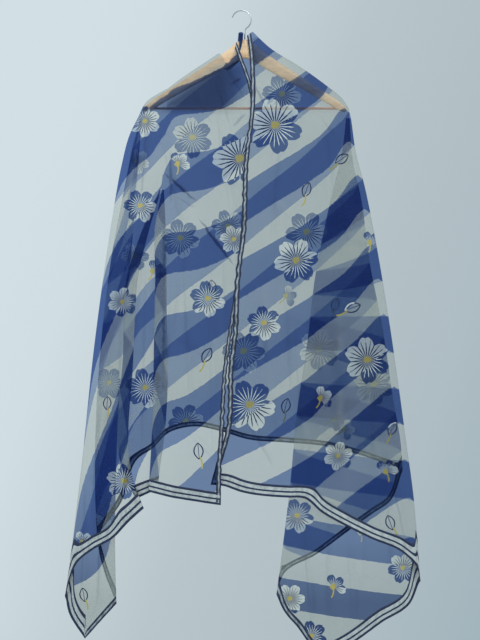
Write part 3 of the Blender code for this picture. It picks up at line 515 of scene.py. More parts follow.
def across(stretch, u, left, right):
    # share across the stretch at column u, and how far the two quarter turns have come round
    width = np.hypot(right[..., 0] - left[..., 0], right[..., 2] - left[..., 2])
    rollLeft = turnReach(left[..., 3], width) if stretch["leftSide"] else 0.0 * width
    rollRight = turnReach(right[..., 3], width) if stretch["rightSide"] else 0.0 * width
    shareLeft = turnShare if stretch["leftSide"] else 0.0
    shareRight = turnShare if stretch["rightSide"] else 0.0
    middle = (u - shareLeft) / (1 - shareLeft - shareRight)
    distance = rollLeft + (width - rollLeft - rollRight) * middle
    turnedLeft = turnedRight = np.ones_like(distance)
    if shareLeft:
        angle = 0.5 * np.pi * np.clip(u / shareLeft, 0, 1)
        distance = np.where(u < shareLeft, rollLeft * (1 - np.cos(angle)), distance)
        turnedLeft = np.sin(angle) * np.ones_like(width)
    if shareRight:
        angle = 0.5 * np.pi * np.clip((1 - u) / shareRight, 0, 1)
        distance = np.where(u > 1 - shareRight, width - rollRight * (1 - np.cos(angle)), distance)
        turnedRight = np.sin(angle) * np.ones_like(width)
    return distance / width, turnedLeft, turnedRight


def creaseDepth(name, x, z):
    # soft troughs and ridges, each bent a little and dying out at its ends, and a fine unevenness; also how dense
    # and dark the cloth is made there, as painted shade beside the creases, below the left arm and at the tails'
    # tips
    tightAndShade = 0.0 * x
    total = 0.35 * np.sin(x / 13 + 1.7 * np.sin(z / 71)) + 0.3 * np.sin(z / 17 + x / 29 + 2 * np.sin(x / 53))
    total = total + 0.25 * np.sin((x - z) / 9.5 + 1.3 * np.sin((x + z) / 41))
    for x0, z0, x1, z1, halfWidth, depth in creases.get(name, []):
        length = math.hypot(x1 - x0, z1 - z0)
        runX, runZ = (x1 - x0) / length, (z1 - z0) / length
        place = ((x - x0) * runX + (z - z0) * runZ) / length
        bend = 0.5 * halfWidth * np.sin(place * 5.2 + x0)
        aside = (x - x0) * runZ - (z - z0) * runX + bend
        fade = np.clip(1 - np.abs(2 * place - 1) ** 3, 0, 1) * (0.8 + 0.2 * np.sin(9 * place + z0))
        total = total + depth * fade * np.exp(-((aside / halfWidth) ** 2))
        total = total - 0.35 * depth * fade * np.exp(-(((np.abs(aside) - 1.9 * halfWidth) / halfWidth) ** 2))
        # painted shade in a narrow band beside each crease, where the cloth is made denser and darker
        creaseShade = np.exp(-(((aside + 0.7 * halfWidth) / (0.34 * halfWidth + 1)) ** 2))
        tightAndShade = tightAndShade + 0.25 * abs(depth) * fade * creaseShade * (8 / (halfWidth + 2))
    # painted shade below the left arm
    if name in yokeShade["parts"]:
        arm = yokeShade["armHeight"] + yokeShade["armSlope"] * np.minimum(x - yokeShade["armX"], 0)
        side = np.clip((yokeShade["right"] - x) / 55, 0, 1) * np.clip((x - yokeShade["left"]) / 40, 0, 1)
        side = side * np.clip((arm - z - 20) / 16, 0, 1) * np.clip((z - yokeShade["low"]) / 22, 0, 1)
        tightAndShade = tightAndShade + yokeShade["closenessAndShade"] * side
    # the slack cloth lets more light through; painted shade darkens the tails' tips
    slack, tipShade = slackAndTipShade.get(name, (0, 0))
    tightAndShade = tightAndShade - slack * np.clip((z + 1120) / 100, 0, 1) + tipShade * np.clip((-1130 - z) / 140, 0, 1)
    return total, tightAndShade


def flute(stretch, s, t):
    # the soft flutes' depth, each growing down the cloth
    total = 0.0 * s
    for place, halfWidth, depth, full in flutes.get(stretch["name"], []):
        rise = np.clip(t / full, 0, 1)
        total = total + depth * rise * rise * (3 - 2 * rise) * np.exp(-(((s - place) / halfWidth) ** 2))
    return total


def surface(stretch, u, v):
    # x, depth, height, in mm, of the cloth at column u and row v, and the share across it
    u, v = np.broadcast_arrays(np.asarray(u, float), np.asarray(v, float))
    left, right, t, turnedTop = down(stretch, v)
    s, turnedLeft, turnedRight = across(stretch, u, left, right)
    place = {}
    for axis in (0, 2):
        place[axis] = lerp(left[..., axis], right[..., axis], s)
        for line, share, end in ((stretch["topLine"], 1 - t, 0.0), (stretch["bottomLine"], t, 1.0)):
            if line:
                ends = [along(stretch[side], end)[..., axis] for side in ("leftLine", "rightLine")]
                place[axis] = place[axis] + share * (along(line, s)[..., axis] - lerp(ends[0], ends[1], s))
    depthLeft = left[..., 1] + stretch["leftSide"] * left[..., 3]
    depthRight = right[..., 1] + stretch["rightSide"] * right[..., 3]
    depth = lerp(depthLeft, depthRight, s) + stretch["bulge"] * np.minimum(3 * t, 1) * 4 * s * (1 - s)
    depth = depth + flute(stretch, s, t)
    calm = np.minimum(1, np.minimum(s, 1 - s) * 8) if stretch["leftSide"] and stretch["rightSide"] else 1.0
    folded = waves["creases"] * creaseDepth(stretch["name"], place[0], place[2])[0]
    depth = depth + folded * calm * np.minimum(1, 12 * t)
    hem = waves["hemDepth"] * np.exp(-np.clip(1 - v, 0, 1) * 40)  # the border draws the hem up a little
    depth = depth + hem * np.sin(2 * np.pi * place[0] / waves["hemPitch"] + 1.5 * np.sin(place[0] / 37))
    if not (stretch["leftSide"] and stretch["rightSide"]):
        free = s if not stretch["leftSide"] else 1 - s
        width = np.hypot(right[..., 0] - left[..., 0], right[..., 2] - left[..., 2])
        pucker = np.sin(2 * np.pi * place[2] / waves["edgePitch"] + 1.2 * np.sin(place[2] / 43))
        depth = depth + waves["edgeDepth"] * np.exp(-free * width / 12) * pucker
        wander = 2 * np.pi * place[2] / waves["wanderPitch"] + 2.1 * np.sin(place[2] / 61)
        wander = waves["edgeWander"] * np.sin(wander)
        wander = (wander + 0.7 * np.sin(place[2] / 5.1)) * np.exp(-free * width / 14)
        place[0] = place[0] + wander * np.clip(6 * t, 0, 1) * np.clip(8 * (1 - t), 0, 1)
    depth = left[..., 1] + (depth - left[..., 1]) * turnedLeft
    depth = right[..., 1] + (depth - right[..., 1]) * turnedRight
    if stretch["topLine"]:
        ridge = along(stretch["topLine"], s)[..., 1]
        depth = ridge + (depth - ridge) * turnedTop
    return np.stack([place[0], depth, place[2]], -1), s


def normals(stretch, u, v):
    # towards the front where the cloth is flat
    step = 0.004
    sideways = surface(stretch, np.minimum(u + step, 1), v)[0] - surface(stretch, np.maximum(u - step, 0), v)[0]
    below = surface(stretch, u, np.minimum(v + step, 1))[0] - surface(stretch, u, np.maximum(v - step, 0))[0]
    flat = -np.cross(sideways, below)
    return flat / np.maximum(np.linalg.norm(flat, axis=-1, keepdims=True), 1e-9)


def columnPlaces(stretch):
    # the mesh's columns, closer together where the cloth turns
    left, right = stretch["leftLine"]["points"], stretch["rightLine"]["points"]
    width = max(abs(right[-1][0] - left[-1][0]), abs(right[0][0] - left[0][0]), 60)
    count = max(8, int(width / columnStep))
    start = turnShare if stretch["leftSide"] else 0.0
    end = 1 - turnShare if stretch["rightSide"] else 1.0
    places = list(np.linspace(0, start, turnSteps + 1)[:-1]) if start else []
    places += list(np.linspace(start, end, count + 1))
    if end < 1:
        places += list(np.linspace(end, 1, turnSteps + 1)[1:])
    return np.array(places)


def rowPlaces(stretch):
    # the mesh's rows: the turn over the arm, the yoke, and the rest
    low = np.linspace(0, 1, lowerRows + 1)
    if not stretch["topLine"]:
        return low
    turned = np.linspace(0, turnShare, turnSteps + 1)[:-1]
    yoke = np.linspace(turnShare, yokeShare, yokeRows + 1)[:-1]
    return np.concatenate([turned, yoke, yokeShare + (1 - yokeShare) * low])


def stripeCount(stretch, points, s):
    # straight across between the counts on the two falls at the same height
    counts = []
    for side in ("left", "right"):
        marks = np.array(stripeMarks[stretch[side]], float)[::-1]
        first, last = marks[0], marks[-1]
        before, after = (marks[1] - first), (last - marks[-2])
        count = np.interp(points[..., 2], marks[:, 0], marks[:, 1])
        count = count + np.minimum(points[..., 2] - first[0], 0) * before[1] / before[0]
        count = count + np.maximum(points[..., 2] - last[0], 0) * after[1] / after[0]
        counts.append(count)
    count = lerp(counts[0], counts[1], s)
    name, height = stretch["name"], points[..., 2]
    if name == "right_front":
        low = np.clip((-620 - height) / 400, 0, 1)  # the stripes rise in a wave near the hem
        count = count + 0.4 * low * np.exp(-(((s - 0.67) / 0.2) ** 2))
        count = count + 0.33 * np.exp(-(((s - 0.86) / 0.13) ** 2)) * np.clip(12 * (1 - s), 0, 1)
    elif name == "left_under_fold":
        count = count + 0.7 * (1 - s) * np.clip((-1180 - height) / 60, 0, 1)
    elif name == "left_front":
        beside = (1 - np.exp(-s / 0.05)) * np.exp(-((s / 0.36) ** 2))  # they sag beside the pleat
        count = count + 0.42 * beside * np.clip((-150 - height) / 80, 0, 1)
    elif name in ("back_panel", "left_inner_fold"):
        # beside the left fold the layers' stripes lie over each other
        near = np.exp(-s / 0.08) if name == "back_panel" else 1 - s
        drops, moves = (500, 716, 772, 880, 980, 1129), (0, 0.55, 0.5, -0.1, -0.45, -0.5)
        count = count + near * np.interp(-height, drops, moves)
        if name == "back_panel":
            count = count - 0.12 * np.exp(-(((s - 0.45) / 0.3) ** 2))
    return count


def meshPiece(name, vertices, faces, materials):
    # a smooth mesh object at the origin, from points in mm
    data = bpy.data.meshes.new(name)
    data.from_pydata((np.asarray(vertices) * mm).tolist(), [], [list(map(int, face)) for face in faces])
    data.polygons.foreach_set("use_smooth", [True] * len(data.polygons))
    for made in materials:
        data.materials.append(made)
    piece = bpy.data.objects.new(name, data)
    bpy.context.scene.collection.objects.link(piece)
    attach(piece, "root")
    return piece


def cornerMap(piece, name, values):
    # a UV map from one pair of numbers for each corner of each face
    layer = piece.data.uv_layers.new(name=name)
    layer.uv.foreach_set("vector", np.asarray(values, np.float32).reshape(-1))


def quads(ids):
    return np.stack([ids[:-1, :-1], ids[1:, :-1], ids[1:, 1:], ids[:-1, 1:]], -1).reshape(-1, 4)


def corners(grid):
    # the values at the four corners of each face of a grid
    four = [grid[:-1, :-1], grid[1:, :-1], grid[1:, 1:], grid[:-1, 1:]]
    return np.stack(four, 2).reshape(-1, 4, *grid.shape[2:])


def motifCorners(name, corner):
    # each face's corners in the frame of the nearest motif, x and y in its radii; far away where there is none
    middle = corner.mean(1)
    local = np.full((len(corner), 4, 2), 9.0)
    kinds = np.zeros(len(corner))
    nearest = np.full(len(corner), 1.35)
    for x, z, radius, turn, kind in motifs.get(name, []):
        away = np.hypot(middle[:, 0] - x, middle[:, 2] - z) / radius
        mine = away < nearest
        nearest = np.where(mine, away, nearest)
        angle = math.radians(turn)
        cos, sin = math.cos(angle), math.sin(angle)
        dx, dz = (corner[mine][..., 0] - x) / radius, (corner[mine][..., 2] - z) / radius
        local[mine] = np.stack([dx * cos + dz * sin, dz * cos - dx * sin], -1)
        kinds[mine] = kind
    return local, kinds


def foldCorners(name, corner):
    # each face's corners along and beside its nearest crease, as a share and in mm, and how sharp the crease is
    middle = corner.mean(1)
    local = np.full((len(corner), 4, 2), 99.0)
    sharpness = np.zeros(len(corner))
    nearest = np.full(len(corner), 16.0)
    for x0, z0, x1, z1, halfWidth, depth in creases.get(name, []):
        length = math.hypot(x1 - x0, z1 - z0)
        runX, runZ = (x1 - x0) / length, (z1 - z0) / length
        place = ((middle[:, 0] - x0) * runX + (middle[:, 2] - z0) * runZ) / length
        away = np.abs((middle[:, 0] - x0) * runZ - (middle[:, 2] - z0) * runX)
        mine = (away < nearest) & (place > -0.03) & (place < 1.03)
        nearest = np.where(mine, away, nearest)
        dx, dz = corner[mine][..., 0] - x0, corner[mine][..., 2] - z0
        local[mine] = np.stack([(dx * runX + dz * runZ) / length, dx * runZ - dz * runX], -1)
        sharpness[mine] = min(1.0, max(0.12, (11 - halfWidth) / 6)) * abs(depth) / 3.8
    return local, sharpness


def runLength(points, axis):
    # distance from the first point along one axis of a grid
    steps = np.linalg.norm(np.diff(points, axis=axis), axis=-1)
    return np.concatenate([0 * np.take(points[..., 0], [0], axis), np.cumsum(steps, axis)], axis)


def stolePiece(cloths):
    # one thin sheet: the stretches share their vertices at the folds
    vertices, faces = [], []
    phase, weave, local, kinds, bunchAndShade, folds = [], [], [], [], [], []
    shared, rims = {}, {}
    total = 0

    def plain(count, closenessAndShade):
        # faces with no motif and no crease
        local.append(np.full((count, 4, 2), 9.0))
        kinds.append(np.zeros(count))
        bunchAndShade.append(np.tile([closenessAndShade, 0.0], (count, 4, 1)))
        folds.append(np.full((count, 4, 2), 9.0))

    for name, stretch in cloths.items():
        u, v = np.meshgrid(columnPlaces(stretch), rowPlaces(stretch))
        points, s = surface(stretch, u, v)
        ids = np.arange(total, total + u.size).reshape(u.shape)
        total += u.size
        vertices.append(points.reshape(-1, 3))
        for fold, column in ((stretch["left"], 0), (stretch["right"], -1)):
            if fold in shared:
                ids[-lowerRows - 1:, column] = shared[fold]
            elif stretch["leftSide" if column == 0 else "rightSide"]:
                shared[fold] = ids[-lowerRows - 1:, column].copy()
        corner = corners(points)
        faces.append(quads(ids))
        phase.append(corners(stripeCount(stretch, points, s)))
        weave.append(corners(np.stack([runLength(points, 1), runLength(points, 0)], -1)))
        placedFold, sharpness = foldCorners(name, corner)
        folds.append(placedFold)
        # how dense and dark each corner is made, with its painted shade, and how sharp its crease is
        bunchedAndShaded = corners(creaseDepth(name, points[..., 0], points[..., 2])[1])
        bunchAndShade.append(np.stack([bunchedAndShaded, np.repeat(sharpness[:, None], 4, 1)], -1))
        placed, kind = motifCorners(name, corner)
        local.append(placed)
        kinds.append(kind)
        rims[name] = (ids, points, s)

    # above the pleat the two left fronts are one cloth
    first, last = rims["left_outer_front"], rims["left_front"]
    high = len(first[0]) - lowerRows
    threadRun = 84  # mm of cloth to a stripe
    faces.append(quads(np.stack([first[0][:high, -1], last[0][:high, 0]], 1)))
    count = stripeCount(cloths["left_front"], last[1], last[2])[:high, 0]
    phase.append(corners(np.stack([count, count], 1)))
    sides = [np.stack([place + 0 * count, count * threadRun], -1) for place in (0, 1)]
    weave.append(corners(np.stack(sides, 1)))
    plain(high - 1, 0.0)

    # the bunched neck edge beside the hook, closed round on itself
    gathered = gatherPoints()
    rows, columns = gathered.shape[:2]
    ids = np.arange(total, total + rows * columns).reshape(rows, columns)
    vertices.append(gathered.reshape(-1, 3))
    around = np.concatenate([gathered, gathered[:, :1]], 1)
    faces.append(quads(np.concatenate([ids, ids[:, :1]], 1)))
    phase.append(corners(0.55 - 0.2 * np.linspace(0, 1, rows)[:, None] + 0 * around[..., 0]))
    spread = np.linspace(0, 40, columns + 1) + 0 * around[..., 0]
    weave.append(corners(np.stack([spread, 0.5 * around[..., 2]], -1)))
    plain((rows - 1) * columns, 0.5)

    faces = np.concatenate(faces)
    piece = meshPiece("stole", np.concatenate(vertices), faces, [organza])
    for mapName, values in (("weave", weave), ("motif", local), ("bunchAndShade", bunchAndShade), ("fold", folds)):
        cornerMap(piece, mapName, np.concatenate(values))
    halves, everyKind = np.concatenate(phase) * 0.5, np.repeat(np.concatenate(kinds)[:, None], 4, 1)
    cornerMap(piece, "stripe", np.stack([halves, everyKind], -1))
    print("stole faces", len(faces))
    return piece


def gatherPoints():
    # rings round the gather's line, fluted as bunched cloth is
    line = smoothLine(neckGather)
    rings, around = 40, 48
    rows = along(line, np.linspace(0, 1, rings))
    run = np.gradient(rows[:, 1:3], axis=0)
    run = run / np.linalg.norm(run, axis=1, keepdims=True)
    angle = np.linspace(0, 2 * np.pi, around, endpoint=False)
    wave = 1 + 0.22 * np.sin(5 * angle[None, :] + 3 * np.sin(np.linspace(0, 4, rings))[:, None])
    side = 0.5 * rows[:, 3:4] * np.cos(angle)[None, :] * (0.9 + 0.1 * wave)
    out = 0.5 * rows[:, 4:5] * np.sin(angle)[None, :] * wave
    return np.stack([rows[:, 0:1] + side, rows[:, 1:2] - run[:, 1:2] * out, rows[:, 2:3] + run[:, 0:1] * out], -1)


def lengthShare(stretch, u):
    # share of v in a millimetre down column u, near its hem
    low, high = surface(stretch, u, 1.0 + 0 * u)[0], surface(stretch, u, 0.8 + 0 * u)[0]
    return 0.2 / np.linalg.norm(low - high, axis=-1)


def borderTop(stretch, u, width):
    # the row where the border begins above column u: a slanted hem takes more of the cloth's length
    left, right = down(stretch, 1.0 + 0 * u)[:2]
    s = across(stretch, u, left, right)[0]
    ends = [stretch[side]["points"][-1][:3] for side in ("leftLine", "rightLine")]
    edge = stretch["bottomLine"] or smoothLine(ends)
    run = along(edge, s + 0.02) - along(edge, s - 0.02)
    slant = np.hypot(run[..., 0], run[..., 2]) / np.maximum(np.abs(run[..., 0]), 1e-6)
    return 1 - width * np.minimum(slant, steepestBorder) * lengthShare(stretch, u)


def columnAt(stretch, share):
    # the column whose foot is at this share of the hem
    u = np.linspace(0, 1, 2001)
    left, right = down(stretch, 1.0 + 0 * u)[:2]
    return float(np.interp(share, across(stretch, u, left, right)[0], u))


def bandGrid(stretch, values):
    # places (u, v) of a border: along it, then across it from its outer edge inward
    if values["edge"] == "bottom":
        widths = bottomWidths[stretch["name"]]
        low, high, width = 0.0, 1.0, widths[0]
        if values.get("beforeTip") or values.get("afterTip"):
            tip = columnAt(stretch, stretch["bottomLine"]["corner"])
            low, high, width = (0.0, tip, widths[0]) if values.get("beforeTip") else (tip, 1.0, widths[1])
        base = columnPlaces(stretch)
        u = np.unique(np.concatenate([base[(base > low) & (base < high)], np.linspace(low, high, 60)]))
        steps = np.linspace(0, 1, 11)
        top = borderTop(stretch, u, width)
        return np.repeat(u[:, None], 11, 1), 1 - (1 - top)[:, None] * steps[None, :], width
    v = rowPlaces(stretch)
    left, right = down(stretch, v)[:2]
    width = np.hypot(right[:, 0] - left[:, 0], right[:, 2] - left[:, 2])
    share = edgingWidth / width * (1 - turnShare)
    steps = np.linspace(0, 1, 8)
    u = share[:, None] * steps[None, :]
    return (u if values["edge"] == "left" else 1 - u), np.repeat(v[:, None], 8, 1), edgingWidth


def bandPiece(name, stretch, u, v, width, made, lift=0.0):
    # a thin closed band on both faces of the cloth, thicker at its rolled edge
    points = surface(stretch, u, v)[0]
    facing = normals(stretch, u, v)
    away = np.linspace(0, width, u.shape[1])[None, :] + 0 * u
    half = bandHalf + hemRoll * np.exp(-((away / 1.6) ** 2))
    sides = [points + facing * (lift + side * half)[..., None] for side in (-1, 1)]
    middle = points[:, u.shape[1] // 2]
    arc = np.concatenate([[0], np.cumsum(np.linalg.norm(np.diff(middle, axis=0), axis=-1))])[:, None] + 0 * u
    ids = [np.arange(u.size).reshape(u.shape), np.arange(u.size, 2 * u.size).reshape(u.shape)]
    faces = [quads(ids[0]), quads(ids[1])[:, ::-1]]
    placed = np.stack([arc, away], -1)
    bandMap = [corners(placed), corners(placed)[:, ::-1]]
    flatId = [grid.reshape(-1) for grid in ids]
    flatMap = placed.reshape(-1, 2)
    rows, columns = u.shape
    # once round the rim, to close it
    loop = [row * columns for row in range(rows)] + [(rows - 1) * columns + column for column in range(1, columns)]
    loop += [row * columns + columns - 1 for row in range(rows - 2, -1, -1)] + list(range(columns - 2, 0, -1))
    loop = np.array(loop)
    after = np.roll(loop, -1)
    faces.append(np.stack([flatId[0][loop], flatId[1][loop], flatId[1][after], flatId[0][after]], -1))
    bandMap.append(np.stack([flatMap[loop], flatMap[loop], flatMap[after], flatMap[after]], 1))
    piece = meshPiece(name, np.concatenate([side.reshape(-1, 3) for side in sides]), np.concatenate(faces), [made])
    cornerMap(piece, "band", np.concatenate(bandMap))
    return piece


def newMaterial(name):
    # an empty node material
    made = bpy.data.materials.new(name)
    made.use_nodes = True
    made.node_tree.nodes.clear()
    return made, made.node_tree


